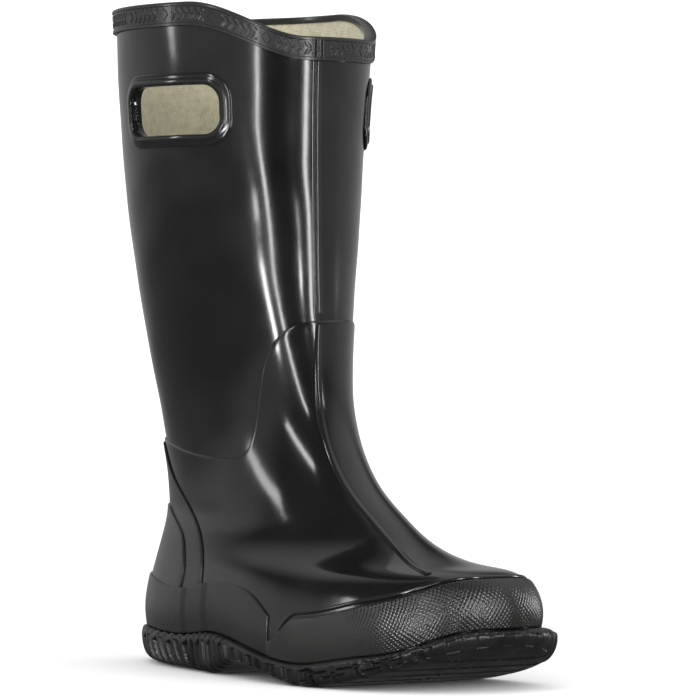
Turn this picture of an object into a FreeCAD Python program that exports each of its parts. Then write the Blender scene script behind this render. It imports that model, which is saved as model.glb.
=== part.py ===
import FreeCAD, Part
import math
import os

V = FreeCAD.Vector

# Steel toe work boot, pull-on rubber, right foot. Millimetres.
# +X toe, +Y inner side of the foot, -Y outer side, +Z up.

# ---------- driving sizes ----------
FOOT_LENGTH = 308.0        # heel to toe of the rubber upper
FOOT_WIDTH = 104.0         # across the ball
BOOT_HEIGHT = 357.0        # ground to the highest point of the collar

SHEET = 2.0                # main rubber sheet of the leg and foot
VAMP = 1.1                 # foot overlay
COUNTER = 0.9              # each of the two heel counters
FOXING = 1.1               # strip above the sole, heel and waist
GUARD = 1.6                # toe guard
GUARD_BEAD = 3.0           # bead along the top of the toe guard
LINING = 1.2               # knitted cotton lining
STIFFENER = 1.4            # heel stiffener under the lining
CAP = 2.0                  # steel toe cap
CEMENT = 0.1               # film between two cemented layers
CAP_FILM = 0.4             # adhesive round the toe cap and its strip
RIM_CLEAR = 0.6            # overlays stop this far above the sole rim

BAND_HEIGHT = 12.6         # collar binding, outside leg
BAND = 2.1                 # its thickness
BAND_LIP = 2.6             # its inside leg

HANDLE_LENGTH = 66.0       # clear hand hole
HANDLE_HEIGHT = 26.0
HANDLE_RADIUS = 9.0
HANDLE_NECK = 1.6          # wall of the frame through the leg
HANDLE_FLANGE = 6.5        # flange round the hole
HANDLE_CENTRE_X = 82.0     # where the hole's axis crosses the middle of the leg
HANDLE_CENTRE_Z = 299.0
HANDLE_TURN = 15.0         # the frame faces this much forward of sideways

BOARD = 2.5                # insole board
FOAM = 4.2                 # footbed foam
COVER = 0.8                # footbed cloth
BED_CLEAR = 0.35           # footbed above the board
BED_INSET = 7.0            # footbed edge inside the rubber sheet

CAP_LENGTH = 58.0          # steel toe cap, toe to rear edge
CAP_STRIP = 9.0            # rubber strip behind the cap
RIM_OUT = 6.2              # sole rim beyond the rubber sheet
TOE_BUMPER = 3.2           # further reach of the rim round the inner front of the toe
GROUND = 1.4               # height of the tread lands on the form
LUG_GROOVE = 3.4           # tread grooves right across the sole
LUG_DEPTH = 2.8
LUG_PLACES = [36, 58, 80, 102, 213, 228, 243, 258, 273, 287]
SHANK_WIDTH = 22.0
SHANK = 1.6

# ---------- form of the boot, middle size ----------
# Rings round the outside of the rubber sheet, sole line first.
# front x, front z, back x, back z, outer half width, inner half width, skew,
# front fullness outside, back fullness, camber, sole-line share, front fullness inside
RINGS = [
    (300.0, 35.0, 4.4, 17.0, 49.3, 47.4, 0.15, 0.50, 0.26, 15.0, 1.00, 0.72),
    (301.8, 43.6, 2.6, 29.0, 50.0, 47.8, 0.14, 0.50, 0.24, 15.5, 0.85, 0.70),
    (299.8, 52.8, 5.2, 43.0, 49.0, 46.8, 0.12, 0.46, 0.21, 15.0, 0.60, 0.62),
    (290.2, 59.8, 10.2, 58.0, 46.2, 44.2, 0.09, 0.36, 0.17, 13.0, 0.30, 0.50),
    (268.0, 62.4, 15.2, 72.0, 41.3, 39.6, 0.04, 0.20, 0.14, 9.0, 0.10, 0.28),
    (241.4, 69.8, 18.3, 85.0, 36.9, 38.2, 0.00, 0.06, 0.11, 5.5, 0.00, 0.06),
    (217.0, 83.0, 18.8, 97.0, 35.9, 36.8, -0.02, 0.02, 0.08, 3.0, 0.0, 0.02),
    (193.6, 100.2, 17.9, 109.0, 36.0, 35.2, -0.02, 0.00, 0.05, 1.0, 0.0, 0.0),
    (174.0, 122.2, 15.4, 124.0, 37.2, 36.7, -0.02, 0.00, 0.03, 0.5, 0.0, 0.0),
    (161.6, 148.0, 12.0, 144.0, 40.4, 39.9, -0.01, 0.01, 0.02, 0.0, 0.0, 0.0),
    (156.0, 179.0, 7.8, 171.0, 45.7, 45.2, 0.00, 0.0, 0.02, 0.0, 0.0, 0.0),
    (154.0, 214.0, 4.0, 204.0, 52.0, 51.0, 0.00, 0.0, 0.02, 0.0, 0.0, 0.0),
    (153.5, 254.0, 0.5, 244.0, 57.5, 56.0, 0.00, 0.0, 0.02, 0.0, 0.0, 0.0),
    (153.5, 294.0, -2.0, 289.0, 62.0, 61.0, 0.00, 0.0, 0.02, 0.0, 0.0, 0.0),
    (155.0, 334.0, -3.5, 334.0, 64.5, 64.5, 0.00, 0.0, 0.02, 0.0, 0.0, 0.0),
]
# Height of the top of the sole rim by degrees round from the toe.
RIM_LINE = [(0, 32.4), (14, 31.1), (22, 27.6), (29, 23.4), (37, 19.9), (46, 17.6), (56, 14.4),
            (66, 12.2), (74, 13.7), (84, 17.6), (94, 21.4), (102, 22.8), (111, 20.9), (122, 20.0),
            (140, 20.8), (160, 20.4), (180, 20.0)]
# Top of the insole board and underside of the sole, by distance from the heel.
FLOOR_LINE = [(-12, 19.6), (0, 19.2), (40, 18.2), (90, 17.6), (120, 17.4), (150, 16.4), (175, 14.6),
              (200, 12.9), (225, 12.4), (252, 15.0), (278, 20.6), (298, 27.0), (312, 32.5)]
SOLE_LINE = [(-12, 3.4), (2, 1.6), (16, 1.1), (70, 1.1), (114, 1.1), (126, 2.8), (137, 6.6),
             (149, 8.9), (162, 9.0), (176, 7.6), (190, 5.4), (204, 2.6), (215, 1.2), (227, 1.6),
             (240, 3.7), (252, 6.2), (265, 9.4), (278, 13.0), (288, 16.4), (298, 20.6), (312, 27.5)]
SIZE_X = FOOT_LENGTH / 308.0
SIZE_Y = FOOT_WIDTH / 104.0
SIZE_Z = BOOT_HEIGHT / 357.0
TOP_RING = len(RINGS) - 1


def cubic(points):
    """Natural cubic through (x, y) pairs, straight beyond both ends."""
    xs = [p[0] for p in points]
    ys = [p[1] for p in points]
    n = len(xs)
    upper = [0.0] * n
    right = [0.0] * n
    for i in range(1, n - 1):
        h0, h1 = xs[i] - xs[i - 1], xs[i + 1] - xs[i]
        bend = 6 * ((ys[i + 1] - ys[i]) / h1 - (ys[i] - ys[i - 1]) / h0)
        pivot = 2 * (h0 + h1) - h0 * upper[i - 1]
        upper[i] = h1 / pivot
        right[i] = (bend - h0 * right[i - 1]) / pivot
    second = [0.0] * n
    for i in range(n - 2, 0, -1):
        second[i] = right[i] - upper[i] * second[i + 1]

    def slope(i, at_end):
        h = xs[i + 1] - xs[i]
        rise = (ys[i + 1] - ys[i]) / h
        if at_end:
            return rise + h * (second[i] + 2 * second[i + 1]) / 6
        return rise - h * (2 * second[i] + second[i + 1]) / 6

    first_slope, last_slope = slope(0, False), slope(n - 2, True)

    def value(x):
        if x <= xs[0]:
            return ys[0] + first_slope * (x - xs[0])
        if x >= xs[-1]:
            return ys[-1] + last_slope * (x - xs[-1])
        i = 0
        while x > xs[i + 1]:
            i += 1
        h = xs[i + 1] - xs[i]
        a, b = (xs[i + 1] - x) / h, (x - xs[i]) / h
        return (a * ys[i] + b * ys[i + 1]
                + ((a ** 3 - a) * second[i] + (b ** 3 - b) * second[i + 1]) * h * h / 6)
    return value


def ease(x):
    x = max(0.0, min(1.0, x))
    return x * x * (3 - 2 * x)


COLUMNS = [cubic(list(enumerate(column))) for column in zip(*RINGS)]
rim_line = cubic(RIM_LINE)
floor_line = cubic(FLOOR_LINE)
sole_line = cubic(SOLE_LINE)


def from_toe(angle):
    """Degrees away from the toe, 0 to 180, on either side."""
    return math.degrees(abs(math.remainder(angle, 2 * math.pi)))


def inner_side(angle):
    return math.remainder(angle, 2 * math.pi) < 0


def rim_height(angle):
    away = from_toe(angle)
    if inner_side(angle) and away < 90:
        away = max(0.0, away - 20 * (1 - away / 90) * ease(away / 16))
    return rim_line(away)


def form(ring, angle):
    """Point on the outside of the rubber sheet; angle 0 toe, 90 outer side, 180 heel."""
    fx, fz, bx, bz, wo, wi, skew, fo, fb, camber, share, fi = [c(ring) for c in COLUMNS]
    along, side = math.cos(angle), math.sin(angle)
    q = (1 + along) / 2
    share = max(0.0, min(1.0, share))
    z = bz + (fz - bz) * q
    tilt_start = RINGS[0][3] + (RINGS[0][1] - RINGS[0][3]) * q
    z += share * (rim_height(angle) - tilt_start)
    if ring < 0:
        z = rim_height(angle) + 10.0 * ring
    front_full = fo + (fi - fo) * (0.5 - 0.5 * side)
    full = fb + (front_full - fb) * ease(q)
    width = wo if side > 0 else wi
    waist = 0.05 if side > 0 else 0.16
    pinch = 1 - waist * share * math.exp(-((q - 0.42) / 0.16) ** 2)
    y = -side * width * (1 + skew * along + full * along * along) * pinch
    y += camber * (max(q, 0.0) ** 2.2) - 0.35 * camber * math.exp(-((q - 0.6) / 0.22) ** 2)
    return V((bx + (fx - bx) * q) * SIZE_X, y * SIZE_Y, z * SIZE_Z)


def outward(ring, angle):
    step = 1e-3
    up = form(ring + step, angle) - form(ring - step, angle)
    round_ = form(ring, angle + step) - form(ring, angle - step)
    return up.cross(round_).normalize()


def skin(ring, angle, depth):
    """The form moved straight outward by depth (a number or a rule)."""
    point = form(ring, angle)
    if callable(depth):
        depth = depth(ring, angle, point)
    return point + outward(ring, angle) * depth


# ---------- surface and solid builders ----------
def surface_through(grid):
    """Cubic surface through a grid of points, evenly spaced both ways."""
    def through(points):
        n = len(points) - 1
        curve = Part.BSplineCurve()
        curve.interpolate(Points=points, Parameters=[i / n for i in range(n + 1)])
        return curve
    across = [through(row) for row in grid]
    rows = [curve.getPoles() for curve in across]
    along = [through([row[j] for row in rows]) for j in range(len(rows[0]))]
    columns = [curve.getPoles() for curve in along]
    poles = [[column[i] for column in columns] for i in range(len(columns[0]))]
    surface = Part.BSplineSurface()
    surface.buildFromPolesMultsKnots(
        poles, along[0].getMultiplicities(), across[0].getMultiplicities(),
        along[0].getKnots(), across[0].getKnots(), False, False, 3, 3)
    return surface


def borders(surface):
    u0, u1, v0, v1 = surface.bounds()
    return [surface.uIso(u0).toShape(), surface.uIso(u1).toShape(),
            surface.vIso(v0).toShape(), surface.vIso(v1).toShape()]


def edge_face(first, second):
    """Straight face between two border curves that share one set of knots."""
    surface = Part.BSplineSurface()
    surface.buildFromPolesMultsKnots(
        [first.getPoles(), second.getPoles()], [2, 2], first.getMultiplicities(),
        [0.0, 1.0], first.getKnots(), False, False, 1, 3)
    return surface.toShape()


def closed_solid(faces):
    shell = Part.makeShell(faces)
    shell.sewShape(1e-4)
    shell = Part.Shell(shell.Faces)
    solid = Part.Solid(shell)
    if solid.Volume < 0:
        solid.reverse()
    return solid


def sheet(place, inside, outside, rows, columns, ring_closed=False):
    """Solid sheet between two depths; place(r, c) gives (ring, angle) for r, c from 0 to 1."""
    spans = [(0.0, 0.5), (0.5, 1.0)] if ring_closed else [(0.0, 1.0)]
    faces = []
    for start, end in spans:
        pair = []
        for depth in (inside, outside):
            grid = []
            for i in range(rows + 1):
                spots = [place(i / rows, start + (end - start) * j / columns)
                         for j in range(columns + 1)]
                grid.append([skin(ring, angle, depth) for ring, angle in spots])
            pair.append(surface_through(grid))
        faces += [pair[0].toShape(), pair[1].toShape()]
        edges = list(zip(borders(pair[0]), borders(pair[1])))
        for inner_edge, outer_edge in edges[:2] if ring_closed else edges:
            faces.append(edge_face(inner_edge.Curve, outer_edge.Curve))
    return closed_solid(faces)


def body_of_form(point_at, rows, columns):
    """Closed body from point_at(r, angle), r 0 bottom to 1 top, bridged straight across."""
    halves = []
    for turn in (math.pi, -math.pi):
        halves.append(surface_through([[point_at(i / rows, turn * j / columns)
                                        for j in range(columns + 1)] for i in range(rows + 1)]))
    outer, inner = borders(halves[0]), borders(halves[1])
    faces = [half.toShape() for half in halves]
    faces.append(Part.makeRuledSurface(outer[0], inner[0]))
    faces.append(Part.makeRuledSurface(outer[1], inner[1]))
    return closed_solid(faces)


def foot_form(depth, low=-2.2, high=1.6):
    """The foot from below the sole line up to a ring, at one depth."""
    return body_of_form(lambda r, a: skin(low + (high - low) * r, a, depth), 10, 40)


def profile_body(lower, upper, start, end, steps=40):
    """Everything between two side-view lines, right across the boot."""
    xs = [start + (end - start) * i / steps for i in range(steps + 1)]
    low, high = Part.BSplineCurve(), Part.BSplineCurve()
    low.interpolate([V(x * SIZE_X, -120, lower(x) * SIZE_Z) for x in xs])
    high.interpolate([V(x * SIZE_X, -120, upper(x) * SIZE_Z) for x in xs])
    ends = [Part.makeLine(low.StartPoint, high.StartPoint), Part.makeLine(low.EndPoint, high.EndPoint)]
    wire = Part.Wire(Part.__sortEdges__([low.toShape(), ends[1], high.toShape(), ends[0]]))
    return Part.Face(wire).extrude(V(0, 240, 0))


def swept_strip(stations, section, ring_closed=False):
    """Sweep a flat section over stations of (origin, out, across)."""
    def corner(station, spot):
        origin, out, across = station
        return origin + out * spot[1] + across * spot[0]
    edges = []
    for spot in section:
        curve = Part.BSplineCurve()
        points = [corner(station, spot) for station in stations]
        count = len(points)
        if ring_closed:
            curve.interpolate(Points=points, PeriodicFlag=True,
                              Parameters=[i / count for i in range(count + 1)])
        else:
            curve.interpolate(Points=points, Parameters=[i / (count - 1) for i in range(count)])
        edges.append(curve.toShape())
    faces = [Part.makeRuledSurface(edges[i], edges[(i + 1) % len(edges)]) for i in range(len(edges))]
    if not ring_closed:
        for station in (stations[0], stations[-1]):
            points = [corner(station, spot) for spot in section]
            faces.append(Part.Face(Part.makePolygon(points + points[:1])))
    return closed_solid(faces)


def strip_station(ring, angle, ring_step, angle_step):
    """Origin on the form, outward direction and the direction square to the strip."""
    ahead = form(ring + ring_step, angle + angle_step) - form(ring - ring_step, angle - angle_step)
    out = outward(ring, angle)
    across = out.cross(ahead.normalize()).normalize()
    return form(ring, angle), out, across


def rounded_block(length, height, radius, depth_near, depth_far, side):
    """Rounded oblong block through the leg at the hand hole; side -1 outer, 1 inner."""
    base = Part.makeBox(length, depth_far - depth_near, height,
                        V(-length / 2, depth_near, -height / 2))
    base = base.makeFillet(radius, [e for e in base.Edges
                                    if abs(e.tangentAt(e.FirstParameter).y) > 0.9])
    if side < 0:
        base.rotate(V(0, 0, 0), V(0, 0, 1), 180)
    base.rotate(V(0, 0, 0), V(0, 0, 1), -side * HANDLE_TURN)
    base.translate(V(HANDLE_CENTRE_X * SIZE_X, 0, HANDLE_CENTRE_Z * SIZE_Z))
    return base


def hand_ring(hole_grow, flange, inside, outside, side):
    """A band of one depth range round the hand hole."""
    low, high = (12.0, 14.3)
    start, end = math.radians(25), math.radians(122)
    slab = sheet(lambda r, c: (low + (high - low) * r, -side * (start + (end - start) * c)),
                 inside, outside, 8, 24)
    grow = 2 * hole_grow
    outer = rounded_block(HANDLE_LENGTH + grow + 2 * flange, HANDLE_HEIGHT + grow + 2 * flange,
                          HANDLE_RADIUS + hole_grow + flange, 20, 110, side)
    inner = rounded_block(HANDLE_LENGTH + grow, HANDLE_HEIGHT + grow,
                          HANDLE_RADIUS + hole_grow, 10, 120, side)
    return slab.common(outer).cut(inner)


# ---------- lines on the form ----------
def collar_top(angle):
    """Height of the collar's top edge: level at the sides and back, dipped at the front."""
    away = from_toe(angle)
    if inner_side(angle):
        rise = ease((away - 34) / 60)
    else:
        rise = ease((away - 8) / 54)
    return (337.4 + 18.8 * rise - 1.6 * ease((away - 130) / 50)) * SIZE_Z


def collar_ring(angle, below=0.0):
    """Ring number where the sheet reaches a height below the collar's top edge."""
    target = collar_top(angle) - below
    low, high = TOP_RING - 3.0, TOP_RING + 2.0
    for _ in range(40):
        middle = (low + high) / 2
        if form(middle, angle).z < target:
            low = middle
        else:
            high = middle
    return (low + high) / 2


VAMP_TOP_OUT = cubic([(0, 10.25), (22, 10.15), (31, 9.93), (39, 9.5), (47, 8.8), (56, 8.15),
                      (66, 7.72), (78, 7.62), (95, 7.66), (130, 7.95), (155, 8.05), (180, 8.08)])
VAMP_TOP_IN = cubic([(0, 10.25), (30, 10.28), (48, 10.2), (58, 9.9), (66, 9.3), (74, 8.5),
                     (84, 7.85), (98, 7.68), (130, 7.95), (155, 8.05), (180, 8.08)])


def vamp_top(angle):
    line = VAMP_TOP_IN if inner_side(angle) else VAMP_TOP_OUT
    return line(from_toe(angle))


GUARD_TOP = cubic([(0, 2.6), (15, 2.55), (30, 2.32), (44, 2.1), (57, 1.88), (69, 1.75), (78, 1.7)])
FOXING_TOP = cubic([(70, 1.9), (77, 2.02), (84, 2.25), (91, 2.38), (99, 2.32), (106, 2.2),
                    (118, 2.0), (132, 2.1), (148, 2.25), (180, 2.35)])
COUNTER_OUT_EDGE = cubic([(0, 108), (2.2, 107), (3.1, 107.5), (4.1, 109.5), (5.0, 113), (5.9, 119.5),
                          (6.9, 131), (8.0, 141)])
COUNTER_IN_EDGE = cubic([(0, 117.5), (1.9, 117), (2.6, 116.5), (3.6, 119), (4.4, 124), (5.25, 140)])
COUNTER_OUT_TOP = 7.9
COUNTER_IN_TOP = 5.3


def guard_end(r):
    return math.radians(76.2 - 4.0 * ease((r - 0.55) / 0.45))


def sole_low_ring(angle):
    """Ring number where the sheet stops, level with the underside of the insole board."""
    ring = -0.3
    for _ in range(8):
        point = form(ring, angle)
        ring += (floor_line(point.x / SIZE_X) * SIZE_Z - BOARD * 0.6 - point.z) / (10 * SIZE_Z)
        ring = min(ring, -0.02)
    return ring


def cap_room(ring, angle, point):
    """How far the lining stands in to leave room for the toe cap and heel stiffener."""
    x = point.x / SIZE_X
    front = ease((x - (298.5 - CAP_LENGTH - 32)) / 22)
    low = 1 - ease((ring - 5.8) / 1.2)
    heel = ease((from_toe(angle) - 100) / 12) * (1 - ease((ring - 6.1) / 0.9))
    return front * low * (CAP + 2 * CAP_FILM) + heel * (STIFFENER + CEMENT)


def lining_outside(ring, angle, point):
    return -(SHEET + CEMENT) - cap_room(ring, angle, point)


def lining_inside(ring, angle, point):
    return lining_outside(ring, angle, point) - LINING


SEAM = math.radians(0.1)           # half the butt gap of the two rubber halves
OVER_VAMP = CEMENT + VAMP


def above_rim(angle, depth):
    """Ring number where a layer whose outer face is at a depth clears the sole rim."""
    ring = 0.0
    for _ in range(6):
        edge = form(ring, angle) + outward(ring, angle) * depth
        ring += (form(0.0, angle).z + RIM_CLEAR - edge.z) / (10 * SIZE_Z)
    return max(ring, 0.03)


# ---------- upper ----------
def rubber_half(side):
    def place(r, c):
        angle = side * (SEAM + (math.pi - 2 * SEAM) * c)
        low, high = sole_low_ring(angle), collar_ring(angle, BAND * 0.75)
        return low + (high - low) * r, angle
    half = sheet(place, -SHEET, 0.0, 44, 48)
    grow = HANDLE_NECK + CEMENT
    hole = rounded_block(HANDLE_LENGTH + 2 * grow, HANDLE_HEIGHT + 2 * grow,
                         HANDLE_RADIUS + grow, 15, 115, -side)
    return half.cut(hole)


def vamp_piece():
    def place(r, c):
        angle = 2 * math.pi * c
        low = above_rim(angle, OVER_VAMP)
        return low + (vamp_top(angle) - low) * r, angle
    return sheet(place, CEMENT, OVER_VAMP, 26, 48, True)


def counter(edge, top, inside, outside):
    def place(r, c):
        start = math.radians(edge(top * r))
        angle = start + (2 * math.pi - 2 * start) * c
        low = above_rim(angle, outside)
        return low + (top - low) * r, angle
    return sheet(place, inside, outside, 18, 26)


COUNTER_OUT_DEPTH = OVER_VAMP + CEMENT
COUNTER_IN_DEPTH = COUNTER_OUT_DEPTH + COUNTER + CEMENT


def foxing_rest(ring, angle, point):
    """Depth the foxing lies at: over the vamp, then over each counter in turn."""
    away = from_toe(angle)
    step = COUNTER + CEMENT
    return OVER_VAMP + CEMENT + step * (ease((away - 100.5) / 5) + ease((away - 110.0) / 5))


def foxing_piece():
    def place(r, c):
        start = guard_end(r * 0.6) + math.radians(0.35)
        angle = start + (2 * math.pi - 2 * start) * c
        low = above_rim(angle, foxing_rest(0.0, angle, None) + FOXING)
        return low + (FOXING_TOP(from_toe(angle)) - low) * r, angle
    return sheet(place, foxing_rest, lambda *at: foxing_rest(*at) + FOXING, 8, 90)


def toe_guard_piece():
    def place(r, c):
        angle = guard_end(r) * (1 - 2 * c)
        low = above_rim(angle, OVER_VAMP + CEMENT + GUARD)
        return low + (GUARD_TOP(from_toe(angle)) - low) * r, angle
    return sheet(place, OVER_VAMP + CEMENT, OVER_VAMP + CEMENT + GUARD, 12, 60)


def toe_guard_bead_piece():
    """Bead lying on the vamp just above the top edge of the toe guard."""
    stations = []
    count = 60
    reach = guard_end(1.0)
    for i in range(count + 1):
        angle = reach * (1 - 2 * i / count)
        ring = GUARD_TOP(from_toe(angle)) + 0.17
        slope = (GUARD_TOP(from_toe(angle - 0.01)) - GUARD_TOP(from_toe(angle + 0.01))) / 2
        stations.append(strip_station(ring, angle, slope, -0.01))
    half = GUARD_BEAD / 2
    base = OVER_VAMP + CEMENT
    section = [(-half * 0.8, base), (half * 0.8, base), (half * 0.8, base + 1.1),
               (half * 0.4, base + 1.9), (-half * 0.4, base + 1.9), (-half * 0.8, base + 1.1)]
    return swept_strip(stations, section)


RIDGE_ANGLE = math.radians(1.5)
RIDGE_ON_VAMP = cubic([(3.2, 21.0), (4.0, 20.0), (5.0, 16.0), (6.0, 13.5), (7.0, 13.5), (8.0, 12.0),
                       (9.0, 8.0), (10.2, 2.6)])


def ridge(stations, base, height, width):
    half = width / 2
    section = [(-half, base), (half, base), (half, base + 0.4), (half * 0.45, base + 0.5),
               (half * 0.3, base + height), (-half * 0.3, base + height),
               (-half * 0.45, base + 0.5), (-half, base + 0.4)]
    return swept_strip(stations, section)


def front_ridge_piece():
    low = vamp_top(RIDGE_ANGLE) + 0.12
    high = collar_ring(RIDGE_ANGLE, BAND_HEIGHT + 0.8)
    stations = [strip_station(low + (high - low) * i / 24, RIDGE_ANGLE, 0.01, 0.0) for i in range(25)]
    return ridge(stations, CEMENT, 1.5, 6.0)


def vamp_ridge_piece():
    stations = []
    for i in range(41):
        ring = 3.25 + (vamp_top(RIDGE_ANGLE) - 0.06 - 3.25) * i / 40
        turn = math.radians(RIDGE_ON_VAMP(ring + 0.05) - RIDGE_ON_VAMP(ring - 0.05)) / 2
        stations.append(strip_station(ring, math.radians(RIDGE_ON_VAMP(ring)), 0.05, turn))
    return ridge(stations, OVER_VAMP + CEMENT, 1.3, 6.0)


def back_strip_piece():
    low = vamp_top(math.pi) + 0.12
    high = collar_ring(math.pi, BAND_HEIGHT + 0.8)
    reach = math.radians(7.5)
    def place(r, c):
        return low + (high - low) * r, math.pi + reach * (2 * c - 1)
    return sheet(place, CEMENT, CEMENT + 0.9, 24, 6)


def collar_binding_piece():
    stations = []
    count = 72
    for i in range(count):
        angle = 2 * math.pi * i / count
        ring = collar_ring(angle, BAND * 0.75)
        up = (form(ring + 0.02, angle) - form(ring - 0.02, angle)).normalize()
        stations.append((form(ring, angle), outward(ring, angle), up))
    lip = SHEET + CEMENT + LINING + CEMENT
    top = BAND * 0.62
    section = [(-BAND_HEIGHT + top, CEMENT), (-BAND_HEIGHT + top, BAND * 0.9),
               (-BAND_HEIGHT + top + 0.5, BAND), (top - 0.6, BAND), (top, BAND - 0.6),
               (top, -lip - 0.6), (top - 0.3, -lip - 0.9), (-BAND_LIP, -lip - 0.9),
               (-BAND_LIP, -lip), (CEMENT, -lip), (CEMENT, CEMENT)]
    return swept_strip(stations, section, True)


def collar_tab_piece():
    def place(r, c):
        angle = RIDGE_ANGLE + math.radians(2.1) * (2 * c - 1)
        low, high = collar_ring(angle, BAND_HEIGHT - 0.9), collar_ring(angle, 1.2)
        return low + (high - low) * r, angle
    return sheet(place, BAND + CEMENT, BAND + CEMENT + 0.8, 4, 4)


def handle_frame(side):
    flange = hand_ring(0.0, HANDLE_FLANGE, CEMENT, CEMENT + 1.4, side)
    lip = hand_ring(0.0, HANDLE_FLANGE * 0.45, CEMENT + 0.7, CEMENT + 2.2, side)
    neck = hand_ring(0.0, HANDLE_NECK, -(SHEET + LINING + 3 * CEMENT + 0.9), CEMENT + 0.6, side)
    return flange.fuse(lip).fuse(neck).removeSplitter()


def handle_backing(side):
    lining_face = SHEET + LINING + 2 * CEMENT
    return hand_ring(HANDLE_NECK + CEMENT, 6.0, -(lining_face + 0.9), -lining_face, side)


# ---------- lining, toe cap, stiffener ----------
LINING_JOINT = 8.8


def leg_lining_piece():
    def place(r, c):
        angle = 2 * math.pi * c
        high = collar_ring(angle, BAND * 0.75)
        return LINING_JOINT + 0.01 + (high - LINING_JOINT - 0.01) * r, angle
    tube = sheet(place, lining_inside, lining_outside, 22, 40, True)
    grow = HANDLE_NECK + CEMENT
    for side in (-1, 1):
        tube = tube.cut(rounded_block(HANDLE_LENGTH + 2 * grow, HANDLE_HEIGHT + 2 * grow,
                                      HANDLE_RADIUS + grow, 15, 115, side))
    return tube


def foot_lining_piece():
    def place(r, c):
        angle = 2 * math.pi * c
        low = sole_low_ring(angle) + 0.36
        return low + (LINING_JOINT - 0.01 - low) * r, angle
    return sheet(place, lining_inside, lining_outside, 34, 60, True)


def above_board(start, end):
    return profile_body(lambda x: floor_line(x) + CEMENT, lambda x: 140.0, start, end)


def toe_piece(outer_depth, inner_depth, start, end):
    outer = foot_form(outer_depth, -2.2, 6.0)
    inner = foot_form(inner_depth, -2.4, 6.3)
    return outer.cut(inner).common(above_board(start, end))


def stiffener_piece():
    edge = cubic([(-0.5, 118), (3, 118), (4.6, 124), (5.6, 136)])
    def place(r, c):
        start = math.radians(edge(-0.05 + 5.65 * r))
        angle = start + (2 * math.pi - 2 * start) * c
        low = sole_low_ring(angle) + 0.36
        return low + (5.6 - low) * r, angle
    inside = -(SHEET + CEMENT + STIFFENER)
    return sheet(place, inside, -(SHEET + CEMENT), 14, 26)


# ---------- sole and insole ----------
def sole_body():
    """Solid sole block: rounded rim, rolled sides, tread underside."""
    def point_at(r, angle):
        base = form(0.0, angle)
        step = 1e-3
        along = form(0.0, angle + step) - form(0.0, angle - step)
        out = V(-along.y, along.x, 0).normalize() * -1
        if out.dot(outward(0.0, angle)) < 0:
            out = out * -1
        rim = base.z
        bumper = TOE_BUMPER * max(0.0, math.cos(angle + 0.6)) ** 6
        reach = RIM_OUT + 1.3 * math.cos(angle) ** 2 + bumper
        away = from_toe(angle)
        roll = 0.35 + 0.95 * ease((away - 95) / 25) + 0.45 * (1 - ease(away / 34))
        spot = base + out * reach
        low = sole_line(spot.x / SIZE_X) * SIZE_Z
        tall = rim - low
        section = [(-9.0 * roll - 4.0, 0.0), (-6.0 * roll - 2.2, 0.02), (-3.2 * roll - 0.9, 0.10),
                   (-1.3 * roll - 0.3, 0.27), (-0.2, 0.52), (0.0, 0.76), (-0.35, 0.92),
                   (-1.6, 1.0), (-reach - 1.0, 1.0), (-reach - 5.0, 1.0)]
        place = r * (len(section) - 1)
        i = min(int(place), len(section) - 2)
        part = place - i
        shift = section[i][0] + (section[i + 1][0] - section[i][0]) * part
        share = section[i][1] + (section[i + 1][1] - section[i][1]) * part
        at = spot + out * shift
        bottom = sole_line(at.x / SIZE_X) * SIZE_Z
        return V(at.x, at.y, bottom + (rim - bottom) * share if share < 1 else rim)
    body = body_of_form(point_at, 9, 72)
    ground = Part.makeBox(500, 300, 50, V(-100, -150, GROUND * SIZE_Z - 50))
    return body.cut(ground)


HEEL_POCKET = (24.0, 112.0)
BALL_POCKET = (204.0, 252.0)
SHANK_SPAN = (113.5, 202.5)
POCKET_INSET = 9.0


def cup_floor(x):
    return floor_line(x) - BOARD / SIZE_Z - CEMENT


def pocket(span, floor, shrink):
    inset = foot_form(-POCKET_INSET - shrink)
    top = (lambda x: cup_floor(x) - CEMENT) if shrink else (lambda x: cup_floor(x) + 2)
    slab = profile_body(lambda x: floor(x) + shrink, top, span[0] + shrink, span[1] - shrink)
    return inset.common(slab)


def heel_floor(x):
    return max(7.4, sole_line(x) + 5.0)


def ball_floor(x):
    return sole_line(x) + 4.9


def shank_body(grow):
    start, end = SHANK_SPAN
    low = lambda x: cup_floor(x) - CEMENT - SHANK - grow
    high = (lambda x: cup_floor(x) + 2) if grow else (lambda x: cup_floor(x) - CEMENT)
    slab = profile_body(low, high, start - grow, end + grow)
    width = SHANK_WIDTH + 2 * grow
    block = Part.makeBox((end - start + 2 * grow) * SIZE_X, width, 60,
                         V((start - grow) * SIZE_X, -width / 2 - 2.5, -5))
    long_edges = [e for e in block.Edges if abs(e.tangentAt(e.FirstParameter).z) > 0.9]
    return slab.common(block.makeFillet(8.0, long_edges))


def outsole_piece():
    sole = sole_body()
    cavity = foot_form(CEMENT).common(profile_body(cup_floor, lambda x: 90.0, -20, 330))
    sole = sole.cut(cavity)
    sole = sole.cut(pocket(HEEL_POCKET, heel_floor, 0.0))
    sole = sole.cut(pocket(BALL_POCKET, ball_floor, 0.0))
    sole = sole.cut(shank_body(0.15))
    for x in LUG_PLACES:
        roof = sole_line(x) * SIZE_Z + LUG_DEPTH
        sole = sole.cut(Part.makeBox(LUG_GROOVE, 300, roof + 20, V(x * SIZE_X, -150, -20)))
    return sole


def insole_board_piece():
    slab = profile_body(lambda x: floor_line(x) - BOARD / SIZE_Z, floor_line, -20, 330)
    return foot_form(-(SHEET + CEMENT)).common(slab)


def bed_layer(low, high, extra):
    slab = profile_body(lambda x: floor_line(x) + low / SIZE_Z, lambda x: floor_line(x) + high / SIZE_Z,
                        -20, 330)
    return foot_form(-BED_INSET - extra).common(slab)


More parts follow.
